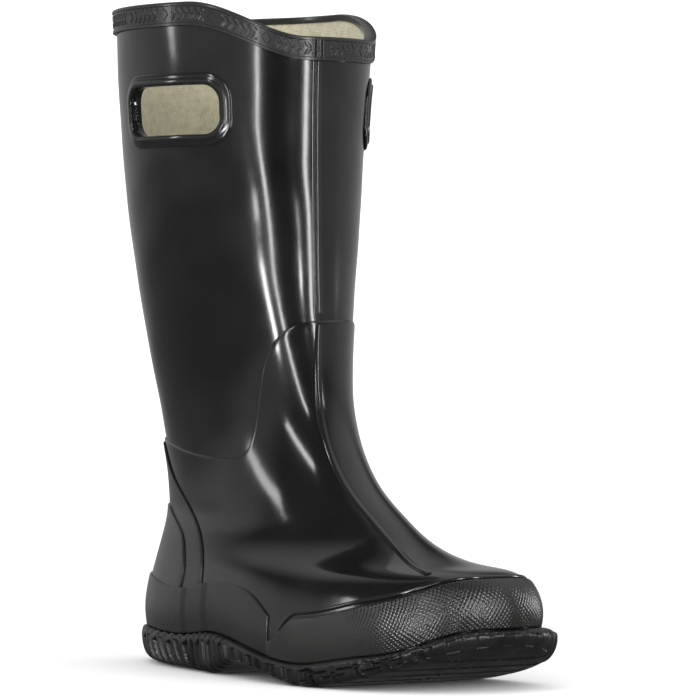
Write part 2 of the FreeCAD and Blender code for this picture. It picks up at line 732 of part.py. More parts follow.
def pieces():
    """Every piece of the boot, by name."""
    cap_start = 298.5 - CAP_LENGTH
    cap_out = -(SHEET + CAP_FILM)
    return {
        "outsole": outsole_piece(),
        "heel_filler": pocket(HEEL_POCKET, heel_floor, CEMENT),
        "forefoot_filler": pocket(BALL_POCKET, ball_floor, CEMENT),
        "steel_shank": shank_body(0.0),
        "insole_board": insole_board_piece(),
        "footbed_foam": bed_layer(BED_CLEAR, BED_CLEAR + FOAM, 0.0),
        "footbed_cover": bed_layer(BED_CLEAR + FOAM + CEMENT, BED_CLEAR + FOAM + CEMENT + COVER, 0.0),
        "steel_toe_cap": toe_piece(cap_out, cap_out - CAP, cap_start, 330.0),
        "toe_cap_strip": toe_piece(cap_out, cap_out - CAP * 0.8,
                                   cap_start - CAP_STRIP - CEMENT, cap_start - CEMENT),
        "heel_stiffener": stiffener_piece(),
        "leg_lining": leg_lining_piece(),
        "foot_lining": foot_lining_piece(),
        "rubber_half_outer": rubber_half(1),
        "rubber_half_inner": rubber_half(-1),
        "front_ridge": front_ridge_piece(),
        "back_strip": back_strip_piece(),
        "vamp_overlay": vamp_piece(),
        "vamp_ridge": vamp_ridge_piece(),
        "heel_counter_low": counter(COUNTER_OUT_EDGE, COUNTER_OUT_TOP, COUNTER_OUT_DEPTH,
                                    COUNTER_OUT_DEPTH + COUNTER),
        "heel_counter_top": counter(COUNTER_IN_EDGE, COUNTER_IN_TOP, COUNTER_IN_DEPTH,
                                    COUNTER_IN_DEPTH + COUNTER),
        "foxing": foxing_piece(),
        "toe_guard": toe_guard_piece(),
        "toe_guard_bead": toe_guard_bead_piece(),
        "collar_binding": collar_binding_piece(),
        "collar_tab": collar_tab_piece(),
        "handle_frame_outer": handle_frame(-1),
        "handle_frame_inner": handle_frame(1),
        "handle_backing_outer": handle_backing(-1),
        "handle_backing_inner": handle_backing(1),
    }


def main():
    os.makedirs("parts", exist_ok=True)
    parts = pieces()
    box = FreeCAD.BoundBox()
    for shape in parts.values():
        box.add(shape.optimalBoundingBox(False, False))
    shift = V(-(box.XMin + box.XMax) / 2, -(box.YMin + box.YMax) / 2, -box.ZMin)
    for name, shape in parts.items():
        shape.translate(shift)
        shape.exportStep("parts/" + name + ".step")


main()
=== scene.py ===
import bpy
import math
import numpy as np
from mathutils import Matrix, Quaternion, Vector


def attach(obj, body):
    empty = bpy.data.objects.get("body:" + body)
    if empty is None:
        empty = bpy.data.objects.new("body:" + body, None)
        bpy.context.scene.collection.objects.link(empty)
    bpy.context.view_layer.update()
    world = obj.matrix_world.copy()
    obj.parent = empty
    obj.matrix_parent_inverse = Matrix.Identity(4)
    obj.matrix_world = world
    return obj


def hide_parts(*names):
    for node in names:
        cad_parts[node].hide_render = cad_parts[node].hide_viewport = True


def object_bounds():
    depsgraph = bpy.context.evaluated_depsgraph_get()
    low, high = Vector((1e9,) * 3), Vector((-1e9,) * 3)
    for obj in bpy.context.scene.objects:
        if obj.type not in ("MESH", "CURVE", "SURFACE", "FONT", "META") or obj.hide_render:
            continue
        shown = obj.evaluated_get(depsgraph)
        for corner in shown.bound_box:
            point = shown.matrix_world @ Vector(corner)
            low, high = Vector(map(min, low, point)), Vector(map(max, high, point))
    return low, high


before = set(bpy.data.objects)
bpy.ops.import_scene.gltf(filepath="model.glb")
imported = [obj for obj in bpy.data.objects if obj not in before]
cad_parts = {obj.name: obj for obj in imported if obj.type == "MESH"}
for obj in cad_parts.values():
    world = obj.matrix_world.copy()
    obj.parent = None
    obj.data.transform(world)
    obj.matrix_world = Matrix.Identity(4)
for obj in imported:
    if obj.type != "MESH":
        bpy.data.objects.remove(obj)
cad_low, cad_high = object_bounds()

# ---------------------------------------------------------------------------
# Last: the aluminium foot and leg shape that every layer of the boot is laid
# on. Rings run from the sole line up to the collar; nothing of it is left in
# the finished boot, only the sheets that were pressed over it.
# ---------------------------------------------------------------------------
# front x, front z and inner half width of the first nine rows rest on a least-squares fit made
# by another program and were then changed
LAST_RINGS = [
    # front x, front z, back x, back z, outer, inner half width, skew,
    # front fullness outside, back fullness, camber, sole-line share, fullness inside
    (300.0, 35.0, 4.4, 17.0, 49.3, 47.4, 0.15, 0.50, 0.26, 15.0, 1.00, 0.72),
    (301.8, 43.6, 2.6, 29.0, 50.0, 47.8, 0.14, 0.50, 0.24, 15.5, 0.85, 0.70),
    (299.8, 52.8, 5.2, 43.0, 49.0, 46.8, 0.12, 0.46, 0.21, 15.0, 0.60, 0.62),
    (290.2, 59.8, 10.2, 58.0, 46.2, 44.2, 0.09, 0.36, 0.17, 13.0, 0.30, 0.50),
    (268.0, 62.4, 15.2, 72.0, 41.3, 39.6, 0.04, 0.20, 0.14, 9.0, 0.10, 0.28),
    (241.4, 69.8, 18.3, 85.0, 36.9, 38.2, 0.00, 0.06, 0.11, 5.5, 0.00, 0.06),
    (217.0, 83.0, 18.8, 97.0, 35.9, 36.8, -0.02, 0.02, 0.08, 3.0, 0.0, 0.02),
    (193.6, 100.2, 17.9, 109.0, 36.0, 35.2, -0.02, 0.00, 0.05, 1.0, 0.0, 0.0),
    (174.0, 122.2, 15.4, 124.0, 37.2, 36.7, -0.02, 0.00, 0.03, 0.5, 0.0, 0.0),
    (161.6, 148.0, 12.0, 144.0, 40.4, 39.9, -0.01, 0.01, 0.02, 0.0, 0.0, 0.0),
    (156.0, 179.0, 7.8, 171.0, 45.7, 45.2, 0.00, 0.0, 0.02, 0.0, 0.0, 0.0),
    (154.0, 214.0, 4.0, 204.0, 52.0, 51.0, 0.00, 0.0, 0.02, 0.0, 0.0, 0.0),
    (153.5, 254.0, 0.5, 244.0, 57.5, 56.0, 0.00, 0.0, 0.02, 0.0, 0.0, 0.0),
    (153.5, 294.0, -2.0, 289.0, 62.0, 61.0, 0.00, 0.0, 0.02, 0.0, 0.0, 0.0),
    (155.0, 334.0, -3.5, 334.0, 64.5, 64.5, 0.00, 0.0, 0.02, 0.0, 0.0, 0.0),
]
RIM_LINE = [(0, 32.4), (14, 31.1), (22, 27.6), (29, 23.4), (37, 19.9), (46, 17.6), (56, 14.4),
            (66, 12.2), (74, 13.7), (84, 17.6), (94, 21.4), (102, 22.8), (111, 20.9), (122, 20.0),
            (140, 20.8), (160, 20.4), (180, 20.0)]
# height of the tread's lands above the last's zero
GROUND = 1.4
# the last's zero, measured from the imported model's lowest corner: heel end and outer side
FROM_HEEL_END = 6.17
FROM_OUTER_SIDE = 67.61
LAST_TO_FRAME = np.array([cad_low.x * 1000 + FROM_HEEL_END, cad_low.y * 1000 + FROM_OUTER_SIDE,
                          cad_low.z * 1000 - GROUND])


def fair_curve(points):
    """Smooth line through (place, height) pairs, straight past both ends; works on arrays."""
    xs, ys = np.array(points, float).T
    n = len(xs)
    system, bend = np.eye(n), np.zeros(n)
    for i in range(1, n - 1):
        before, after = xs[i] - xs[i - 1], xs[i + 1] - xs[i]
        system[i, i - 1:i + 2] = before, 2 * (before + after), after
        bend[i] = 6 * ((ys[i + 1] - ys[i]) / after - (ys[i] - ys[i - 1]) / before)
    curl = np.linalg.solve(system, bend)

    def height(x):
        x = np.asarray(x, float)
        inside = np.clip(x, xs[0], xs[-1])
        i = np.clip(np.searchsorted(xs, inside, side="right") - 1, 0, n - 2)
        gap = xs[i + 1] - xs[i]
        a, b = (xs[i + 1] - inside) / gap, (inside - xs[i]) / gap
        y = a * ys[i] + b * ys[i + 1] + ((a ** 3 - a) * curl[i] + (b ** 3 - b) * curl[i + 1]) * gap * gap / 6
        first, last = xs[1] - xs[0], xs[-1] - xs[-2]
        start = (ys[1] - ys[0]) / first - first * (2 * curl[0] + curl[1]) / 6
        end = (ys[-1] - ys[-2]) / last + last * (curl[-2] + 2 * curl[-1]) / 6
        return y + start * np.minimum(x - xs[0], 0) + end * np.maximum(x - xs[-1], 0)
    return height


def ease(x):
    x = np.clip(x, 0.0, 1.0)
    return x * x * (3 - 2 * x)


def stepped(*heights):
    """Smooth line through heights at 0, 1, 2 and so on."""
    return fair_curve(list(enumerate(heights)))


last_columns = [stepped(*column) for column in zip(*LAST_RINGS)]
rim_line = fair_curve(RIM_LINE)


def turned(angle):
    """Angle brought to -pi..pi, plus on the outer side of the foot."""
    return np.arctan2(np.sin(angle), np.cos(angle))


def from_toe(angle):
    return np.degrees(np.abs(turned(angle)))


def rim_height(angle):
    away = from_toe(angle)
    inner = (turned(angle) < 0) & (away < 90)
    shifted = np.maximum(0.0, away - 20 * (1 - away / 90) * ease(away / 16))
    return rim_line(np.where(inner, shifted, away))


def last_point(ring, angle):
    """Point of the last in its own millimetres; angle 0 toe, 90 outer side, 180 heel."""
    ring, angle = np.broadcast_arrays(np.asarray(ring, float), np.asarray(angle, float))
    fx, fz, bx, bz, wo, wi, skew, fo, fb, camber, share, fi = [c(ring) for c in last_columns]
    along, side = np.cos(angle), np.sin(angle)
    q = (1 + along) / 2
    share = np.clip(share, 0, 1)
    z = bz + (fz - bz) * q + share * (rim_height(angle) - (17.0 + 18.0 * q))
    z = np.where(ring < 0, rim_height(angle) + 10.0 * ring, z)
    full = fb + (fo + (fi - fo) * (0.5 - 0.5 * side) - fb) * ease(q)
    width = np.where(side > 0, wo, wi)
    waist = np.where(side > 0, 0.05, 0.16)
    pinch = 1 - waist * share * np.exp(-((q - 0.42) / 0.16) ** 2)
    y = -side * width * (1 + skew * along + full * along * along) * pinch
    y = y + camber * (q ** 2.2) - 0.35 * camber * np.exp(-((q - 0.6) / 0.22) ** 2)
    return np.stack([bx + (fx - bx) * q, y, z], -1)


def outward(ring, angle):
    step = 1e-3
    up = last_point(ring + step, angle) - last_point(ring - step, angle)
    around = last_point(ring, angle + step) - last_point(ring, angle - step)
    normal = np.cross(up, around)
    return normal / np.linalg.norm(normal, axis=-1, keepdims=True)


def in_frame(points):
    """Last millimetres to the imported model's metres."""
    return (points + LAST_TO_FRAME) / 1000.0


# ---------------------------------------------------------------------------
# Outsole: one moulding of hard-wearing black rubber with a rim that stands
# out round the foot, rolled heel, raised waist and toe spring. Ribs and lugs
# come from the mould; the tread grooves run right across.
# ---------------------------------------------------------------------------
FLOOR_LINE = [(-12, 19.6), (0, 19.2), (40, 18.2), (90, 17.6), (120, 17.4), (150, 16.4), (175, 14.6),
              (200, 12.9), (225, 12.4), (252, 15.0), (278, 20.6), (298, 27.0), (312, 32.5)]
SOLE_LINE = [(-12, 3.4), (2, 1.6), (16, 1.1), (70, 1.1), (114, 1.1), (126, 2.8), (137, 6.6),
             (149, 8.9), (162, 9.0), (176, 7.6), (190, 5.4), (204, 2.6), (215, 1.2), (227, 1.6),
             (240, 3.7), (252, 6.2), (265, 9.4), (278, 13.0), (288, 16.4), (298, 20.6), (312, 27.5)]
RIM_OUT = 6.2
TOE_BUMPER = 3.2
BOARD = 2.5
GROOVE_PLACES = [36, 58, 80, 102, 213, 228, 243, 258, 273, 287]
GROOVE_WIDTH = 3.4
GROOVE_DEPTH = 2.8
DASH_PITCH = 22.0
NICK_PITCH = 4.6
LUG_SPACING = [(0, 10.2), (96, 10.2), (104, 6.8), (146, 6.8), (152, 9.4), (186, 9.4),
               (194, 14.0), (310, 14.0)]
LUG_RELIEF = [(0, 4.2), (96, 4.2), (110, 2.4), (146, 2.4), (152, 3.4), (186, 3.4), (194, 2.6), (224, 2.6),
              (232, 0.0), (252, 0.0), (262, 1.8), (310, 1.8)]
floor_line, sole_line = fair_curve(FLOOR_LINE), fair_curve(SOLE_LINE)


def tread(x):
    """Height of the sole's underside, with its cross grooves."""
    groove = 0 * x
    for place in GROOVE_PLACES:
        middle = place + GROOVE_WIDTH / 2
        groove = np.maximum(groove, 1 - ease((np.abs(x - middle) - GROOVE_WIDTH / 2 + 0.5) / 0.6))
    return np.maximum(sole_line(x), GROUND) + GROOVE_DEPTH * groove


def piece_from(name, points, faces, crease=38.0, spread=None):
    """A smooth-shaded piece from points in last millimetres."""
    mesh = bpy.data.meshes.new(name)
    mesh.from_pydata(in_frame(np.asarray(points)).tolist(), [], [list(map(int, f)) for f in faces])
    mesh.validate()
    mesh.shade_smooth()
    mesh.set_sharp_from_angle(angle=math.radians(crease))
    if spread is not None:
        layer = mesh.uv_layers.new(name="cut")
        corner = np.empty(len(mesh.loops), dtype=np.int32)
        mesh.loops.foreach_get("vertex_index", corner)
        layer.data.foreach_set("uv", np.asarray(spread, float)[corner].ravel())
    piece = bpy.data.objects.new(name, mesh)
    bpy.context.scene.collection.objects.link(piece)
    return piece


def grid_quads(rows, columns, closed, keep=None):
    wrap = columns if closed else columns - 1
    i, j = np.meshgrid(np.arange(rows - 1), np.arange(wrap), indexing="ij")
    if keep is not None:
        i, j = i[keep], j[keep]
    k = (j + 1) % columns
    return np.stack([i * columns + j, (i + 1) * columns + j, (i + 1) * columns + k, i * columns + k],
                    -1).reshape(-1, 4)


def paint(piece, node, body="boot", material=None):
    """Fix a finished piece to its body and let it stand for its CAD node."""
    piece.data.materials.append(material)
    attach(piece, body)
    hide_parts(node)
    return piece


class Finish:
    """A material being mixed: short names for the shader nodes that a finish needs."""

    def __init__(self, name):
        self.material = bpy.data.materials.new(name)
        self.material.use_nodes = True
        self.tree = self.material.node_tree
        self.shader = self.tree.nodes["Principled BSDF"]
        self.place = self.tree.nodes.new("ShaderNodeTexCoord").outputs["Object"]
        self.cut = self.tree.nodes.new("ShaderNodeUVMap").outputs["UV"]

    def set(self, **values):
        for key, value in values.items():
            self.shader.inputs[key.replace("_", " ")].default_value = value
        return self

    def node(self, kind, **inputs):
        made = self.tree.nodes.new(kind)
        for key, value in inputs.items():
            socket = made.inputs[key.replace("_", " ")]
            if isinstance(value, bpy.types.NodeSocket):
                self.tree.links.new(value, socket)
            else:
                socket.default_value = value
        return made

    def cloud(self, scale, detail=3.0, rough=0.5, where=None):
        return self.node("ShaderNodeTexNoise", Vector=where or self.place, Scale=scale, Detail=detail,
                         Roughness=rough).outputs["Fac"]

    def sum(self, a, b, how="ADD"):
        made = self.tree.nodes.new("ShaderNodeMath")
        made.operation = how
        for socket, value in zip(made.inputs, (a, b)):
            if isinstance(value, bpy.types.NodeSocket):
                self.tree.links.new(value, socket)
            else:
                socket.default_value = value
        return made.outputs[0]

    def range(self, value, low, high, to_low, to_high):
        made = self.node("ShaderNodeMapRange", Value=value)
        for key, v in (("From Min", low), ("From Max", high), ("To Min", to_low), ("To Max", to_high)):
            made.inputs[key].default_value = v
        return made.outputs["Result"]

    def colour(self, value, *marks):
        """Base colour along a value: marks are (place, (r, g, b))."""
        ramp = self.node("ShaderNodeValToRGB", Fac=value)
        while len(ramp.color_ramp.elements) < len(marks):
            ramp.color_ramp.elements.new(0.5)
        for element, (place, colour) in zip(ramp.color_ramp.elements, marks):
            element.position = place
            element.color = (*colour, 1)
        return self.link(ramp.outputs["Color"], "Base Color")

    def roughness(self, value, low, high, to_low, to_high):
        return self.link(self.range(value, low, high, to_low, to_high), "Roughness")

    def link(self, output, key):
        self.tree.links.new(output, self.shader.inputs[key])
        return self

    def relief(self, height, depth, strength=1.0):
        bump = self.node("ShaderNodeBump", Height=height)
        bump.inputs["Distance"].default_value = depth
        bump.inputs["Strength"].default_value = strength
        self.tree.links.new(bump.outputs["Normal"], self.shader.inputs["Normal"])
        return self


fine = np.linspace(0, 2 * np.pi, 2881)
ring_line = last_point(0.0, fine)
walk = np.concatenate([[0], np.cumsum(np.linalg.norm(np.diff(ring_line[:, :2], axis=0), axis=1))])
rim_columns = 1480
rim_walk = np.linspace(0, walk[-1], rim_columns, endpoint=False)
rim_angle = np.interp(rim_walk, walk, fine)
rim_base = last_point(0.0, rim_angle)
rim_x = rim_base[:, 0]
rim_along = last_point(0.0, rim_angle + 1e-3) - last_point(0.0, rim_angle - 1e-3)
rim_out = np.stack([rim_along[:, 1], -rim_along[:, 0], 0 * rim_angle], -1)
rim_out /= np.linalg.norm(rim_out, axis=1, keepdims=True)
rim_out *= np.sign(np.sum(rim_out * outward(0.0, rim_angle), 1))[:, None]
away = from_toe(rim_angle)
reach = RIM_OUT + 1.3 * np.cos(rim_angle) ** 2 + TOE_BUMPER * np.maximum(0, np.cos(rim_angle + 0.6)) ** 6
roll = 0.35 + 0.95 * ease((away - 95) / 25) + 0.45 * (1 - ease(away / 34))
spot = rim_base + rim_out * reach[:, None]
# section from the tread edge up to the rim: how far in, for a flat and a rolled side, and share of height
section_flat = stepped(-4.0, -2.2, -0.9, -0.3, -0.2, 0.0, -0.35, -1.6)
section_roll = stepped(-9.0, -6.0, -3.2, -1.3, -0.2, 0.0, 0.0, 0.0)
section_up = stepped(0.0, 0.02, 0.10, 0.27, 0.52, 0.76, 0.92, 1.0)
section_crown = stepped(0, 0, 0, 0, 0, -0.4, -1.5, -3.4)
front = 1 - ease((np.abs(turned(rim_angle + 0.35)) - 0.45) / 0.8)
roll = roll + 0.7 * front
spacing = np.interp(rim_x, *np.array(LUG_SPACING, float).T)
relief = np.interp(rim_x, *np.array(LUG_RELIEF, float).T)
count_off = np.cumsum((rim_walk[1] - rim_walk[0]) / spacing)
count_off = np.abs(count_off - np.interp(np.pi, rim_angle, count_off))
at_heel, at_crest = ease((104 - rim_x) / 8), ease((rim_x - 98) / 8) * ease((152 - rim_x) / 6)
at_waist = ease((rim_x - 148) / 6) * ease((192 - rim_x) / 6)
at_ball, at_toe = ease((rim_x - 222) / 6) * ease((284 - rim_x) / 10), ease((rim_x - 252) / 10)
dash_low, dash_high = (ease((np.abs((rim_walk / DASH_PITCH + shift) % 1.0 - 0.5) - 0.12) / 0.04)
                       for shift in (0, 0.45))
loop_middle = np.interp(2 * np.pi - np.radians(34), fine, walk)
sole_rows = []
for step in np.linspace(0, 7, 56):
    tall = float(section_up(step))
    shift = section_flat(step) + section_roll(step) * roll + section_crown(step) * front
    slanted = count_off + 0.55 * (tall - 0.5) * at_heel
    beside = np.abs(slanted % 1.0 - 0.5)
    gap = ease((beside - 0.17) / 0.15)
    foot = at_heel + at_crest + (1 - at_heel - at_crest) * ease((tall - 0.10) / 0.12)
    under_lip = 1 - ease((tall - 0.74 + 0.06 * np.sin(2 * np.pi * count_off * 0.5)) / 0.10)
    under_lip = under_lip * (1 - at_waist * (1 - ease((tall - 0.16) / 0.10)))
    cut = relief * gap * foot * under_lip
    cut = cut + 1.3 * at_ball * (dash_low * math.exp(-((tall - 0.34) / 0.035) ** 4)
                                 + dash_high * math.exp(-((tall - 0.60) / 0.035) ** 4))
    nicks = ease((np.abs((rim_walk / NICK_PITCH) % 1.0 - 0.5) - 0.22) / 0.1)
    nicks = nicks * math.exp(-((tall - 0.86) / 0.07) ** 4)
    cut = cut + 1.1 * nicks * at_toe * (1 - at_heel)
    loop = np.hypot(rim_walk - loop_middle, (tall - 0.62) * 15.0)
    cut = cut * ease((loop - 10.5) / 1.5) - 1.3 * (1 - ease((np.abs(loop - 7.5) - 1.0) / 0.8))
    at = spot + rim_out * (shift - cut)[:, None]
    bottom = tread(at[:, 0])
    at[:, 2] = bottom + (rim_base[:, 2] - bottom) * tall
    at[:, 2] += 0.55 * np.cos(2 * np.pi * count_off) * (at_heel + at_crest) * ease((tall - 0.75) / 0.25)
    sole_rows.append(at)
sole_rows.append(rim_base + rim_out * 0.15 + np.array([0, 0, 0.25]))
cup = rim_base - rim_out * 0.3
cup[:, 2] = np.minimum(floor_line(cup[:, 0]) - BOARD - 0.1, rim_base[:, 2] - 1.0)
sole_rows.append(cup)
spine = np.stack([np.clip(rim_x, 46, 262), 1.2 + 7.0 * ease((rim_x - 170) / 110), 0 * rim_walk], -1)
under_rows = []
for share in np.linspace(0.02, 0.96, 34):
    under = sole_rows[0] + (spine - sole_rows[0]) * share
    under[:, 2] = tread(under[:, 0])
    under_rows.append(under)
sole_points = np.concatenate(under_rows[::-1] + sole_rows)
rows_made = len(under_rows) + len(sole_rows)


def close_across(start, around, upward):
    """Bridge the two sides of a ring of points straight across, toe to heel."""
    made = []
    for j in range(around // 2):
        quad = [start + j, start + j + 1, start + (around - j - 1) % around, start + (around - j) % around]
        quad = [v for k, v in enumerate(quad) if v not in quad[:k]]
        if len(quad) >= 3:
            made.append(quad if upward else quad[::-1])
    return made


sole_faces = grid_quads(rows_made, rim_columns, True).tolist()
sole_faces += close_across(0, rim_columns, False)
sole_faces += close_across((rows_made - 1) * rim_columns, rim_columns, True)
sole = piece_from("outsole", sole_points, sole_faces, 38.0)

sole_rubber = Finish("moulded sole rubber").set(Specular_IOR_Level=0.45)
dust = sole_rubber.cloud(55, 5, 0.6)
sole_rubber.colour(dust, (0.35, (0.005, 0.005, 0.0055)), (0.75, (0.012, 0.012, 0.012)))
sole_rubber.roughness(sole_rubber.cloud(140, 4, 0.6), 0.3, 0.7, 0.24, 0.42)
sole_rubber.relief(sole_rubber.cloud(900, 3, 0.6), 0.0004, 0.35)
paint(sole, "outsole", material=sole_rubber.material)

# ---------------------------------------------------------------------------
# Inside the sole: sponge heel block and forefoot filler, a spring steel shank
# between them and the fibre insole board on top. They are cemented in and keep
# their CAD shape; only their finish is given here.
# ---------------------------------------------------------------------------


def dress(node, finish):
    """Give a carried-over CAD node its finish."""
    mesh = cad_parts[node].data
    mesh.materials.clear()
    mesh.materials.append(finish)


sponge = Finish("sponge rubber filler").set(Roughness=0.92)
cells = sponge.node("ShaderNodeTexVoronoi", Vector=sponge.place, Scale=900.0).outputs["Distance"]
sponge.colour(cells, (0.1, (0.03, 0.03, 0.03)), (0.6, (0.14, 0.14, 0.135)))
sponge.relief(cells, 0.0004, 0.6)
dress("heel_filler", sponge.material)
dress("forefoot_filler", sponge.material)

spring_steel = Finish("spring steel").set(Metallic=1.0)
brushing = spring_steel.node("ShaderNodeMapping", Vector=spring_steel.place, Scale=(20.0, 900.0, 900.0))
grain = spring_steel.cloud(3.0, 4, 0.6, brushing.outputs["Vector"])
spring_steel.colour(grain, (0.3, (0.30, 0.31, 0.33)), (0.7, (0.52, 0.53, 0.55)))
spring_steel.roughness(grain, 0.3, 0.7, 0.25, 0.45)
dress("steel_shank", spring_steel.material)

fibre = Finish("fibre insole board").set(Roughness=0.85)
pulp = fibre.cloud(320, 6, 0.7)
fibre.colour(pulp, (0.3, (0.23, 0.16, 0.09)), (0.7, (0.40, 0.30, 0.19)))
fibre.relief(pulp, 0.0003, 0.4)
dress("insole_board", fibre.material)

# ---------------------------------------------------------------------------
# Steel toe cap: pressed and phosphated steel dome over the toes, between the
# lining and the rubber. A soft rubber strip behind its rear edge keeps the
# edge from digging in when the foot bends.
# ---------------------------------------------------------------------------
cap_steel = Finish("pressed toe cap steel").set(Metallic=1.0)
scale = cap_steel.cloud(120, 6, 0.6)
cap_steel.colour(scale, (0.3, (0.24, 0.25, 0.26)), (0.7, (0.42, 0.43, 0.44)))
cap_steel.roughness(scale, 0.3, 0.7, 0.3, 0.5)
dress("steel_toe_cap", cap_steel.material)
strip_rubber = Finish("soft black strip rubber").set(Roughness=0.7)
strip_rubber.colour(strip_rubber.cloud(200), (0.3, (0.015, 0.015, 0.015)), (0.7, (0.03, 0.03, 0.03)))
dress("toe_cap_strip", strip_rubber.material)
stiff_board = Finish("heel stiffener board").set(Roughness=0.8)
stiff_board.colour(stiff_board.cloud(260, 5, 0.7), (0.3, (0.14, 0.11, 0.08)), (0.7, (0.26, 0.21, 0.15)))
dress("heel_stiffener", stiff_board.material)

# ---------------------------------------------------------------------------
# Lining: cream cotton jersey pulled over the last as a sock before any rubber
# goes on. The leg part shows at the collar and through the hand holes; the
# foot part stands in a little over the toe cap and the heel stiffener.
# ---------------------------------------------------------------------------
SHEET = 2.0
CEMENT = 0.1
LINING = 1.2
CAP = 2.0
STIFFENER = 1.4
CAP_LENGTH = 58.0
LINING_JOINT = 8.8
BAND = 2.1
BAND_HEIGHT = 12.6


def laid_sheet(name, ring, angle, under, over, closed=False, keep=None, crease=38.0):
    """A sheet on the last between two depths; ring and angle are grids, outside face first."""
    under = np.broadcast_to(under, ring.shape)
    over = np.broadcast_to(over, ring.shape)
    base, out = last_point(ring, angle), outward(ring, angle)
    rows, columns = ring.shape
    faces = grid_quads(rows, columns, closed, keep)
    count = rows * columns
    pairs = np.concatenate([faces[:, [0, 1]], faces[:, [1, 2]], faces[:, [2, 3]], faces[:, [3, 0]]])
    key, back = pairs[:, 0] * count + pairs[:, 1], pairs[:, 1] * count + pairs[:, 0]
    rim = pairs[~np.isin(key, back)]
    edge = np.stack([rim[:, 1], rim[:, 0], rim[:, 0] + count, rim[:, 1] + count], -1)
    points = np.concatenate([(base + out * over[..., None]).reshape(-1, 3),
                             (base + out * under[..., None]).reshape(-1, 3)])
    used = np.zeros(2 * count, bool)
    every = np.concatenate([faces, faces[:, ::-1] + count, edge])
    used[every.ravel()] = True
    number = np.cumsum(used) - 1
    girth = np.concatenate([np.zeros((rows, 1)), np.cumsum(
        np.linalg.norm(np.diff(base, axis=1), axis=-1), 1)], 1)
    rise = np.concatenate([np.zeros((1, columns)), np.cumsum(
        np.linalg.norm(np.diff(base, axis=0), axis=-1), 0)], 0)
    spread = np.tile(np.stack([girth, rise], -1).reshape(-1, 2) / 1000.0, (2, 1))
    return piece_from(name, points[used], number[every], crease, spread[used])


def stops(length, pitch, edge=(0.0, 0.25, 0.6, 1.1)):
    """Places from 0 to 1 along a sheet, close together near both cut edges."""
    edge = np.array(edge) / length
    middle = np.linspace(edge[-1], 1 - edge[-1], max(4, int(length / pitch)))
    return np.concatenate([edge[:-1], middle, 1 - edge[:-1][::-1]])


def collar_top(angle):
    away, inner = from_toe(angle), turned(angle) < 0
    rise = np.where(inner, ease((away - 34) / 60), ease((away - 8) / 54))
    return 337.4 + 18.8 * rise - 1.6 * ease((away - 130) / 50)


def collar_ring(angle, below=0.0):
    """Ring number where the leg sheet reaches a height below the collar's top edge."""
    target = collar_top(angle) - below
    low, high = np.full(np.shape(angle), 11.0), np.full(np.shape(angle), 16.0)
    for _ in range(36):
        middle = (low + high) / 2
        under = last_point(middle, angle)[..., 2] < target
        low, high = np.where(under, middle, low), np.where(under, high, middle)
    return (low + high) / 2


def lining_depth(ring, angle):
    x, away = last_point(ring, angle)[..., 0], from_toe(angle)
    front = ease((x - (298.5 - CAP_LENGTH - 28)) / 22) * (1 - ease((ring - 5.6) / 1.2))
    heel = ease((away - 100) / 12) * (1 - ease((ring - 6.1) / 0.9))
    return -(SHEET + CEMENT) - front * (CAP + CEMENT) - heel * (STIFFENER + CEMENT)


HANDLE_LENGTH = 66.0
HANDLE_HEIGHT = 26.0
HANDLE_RADIUS = 9.0
HANDLE_NECK = 1.6
HANDLE_AXIS = (82.0, 299.0)
HANDLE_TURN = math.radians(15)


def beside_hole(points, side, grow):
    """True where a point on one side of the leg lies within the hand hole grown by a margin."""
    a = ((points[..., 0] - HANDLE_AXIS[0]) * math.cos(HANDLE_TURN)
         - side * points[..., 1] * math.sin(HANDLE_TURN))
    b = points[..., 2] - HANDLE_AXIS[1]
    radius = HANDLE_RADIUS + grow
    over_a = np.maximum(np.abs(a) - (HANDLE_LENGTH / 2 + grow - radius), 0)
    over_b = np.maximum(np.abs(b) - (HANDLE_HEIGHT / 2 + grow - radius), 0)
    return (np.hypot(over_a, over_b) < radius) & (side * points[..., 1] > 0)


def holed(ring, angle, closed, grow=HANDLE_NECK + 0.6):
    """Which squares of a leg grid stay when both hand holes are cut."""
    points = last_point(ring, angle)
    cut = beside_hole(points, -1, grow) | beside_hole(points, 1, grow)
    after = np.roll(cut, -1, 1) if closed else cut[:, 1:]
    first = cut if closed else cut[:, :-1]
    return ~(first[:-1] | first[1:] | after[:-1] | after[1:])


jersey = Finish("cream cotton jersey").set(Roughness=0.95, Sheen_Weight=0.25, Sheen_Roughness=0.5,
                                           Specular_IOR_Level=0.1)
wale = jersey.node("ShaderNodeMapping", Vector=jersey.cut, Scale=(950.0, 950.0, 950.0))
split = jersey.node("ShaderNodeSeparateXYZ", Vector=wale.outputs["Vector"])
columns_knit = jersey.sum(jersey.sum(split.outputs["X"], 2 * math.pi, "MULTIPLY"), 0.0, "SINE")
rows_knit = jersey.sum(jersey.sum(split.outputs["Y"], 2 * math.pi, "MULTIPLY"), 0.0, "SINE")
stitches = jersey.sum(columns_knit, jersey.sum(rows_knit, 0.5, "MULTIPLY"))
slub = jersey.cloud(260, 4, 0.6)
tone = jersey.sum(jersey.range(stitches, -1.5, 1.5, 0.0, 0.35), jersey.range(slub, 0.3, 0.7, 0.0, 0.65))
jersey.colour(tone, (0.1, (0.40, 0.37, 0.265)), (0.55, (0.52, 0.485, 0.36)), (0.95, (0.60, 0.565, 0.43)))
jersey.relief(stitches, 0.0003, 0.5)

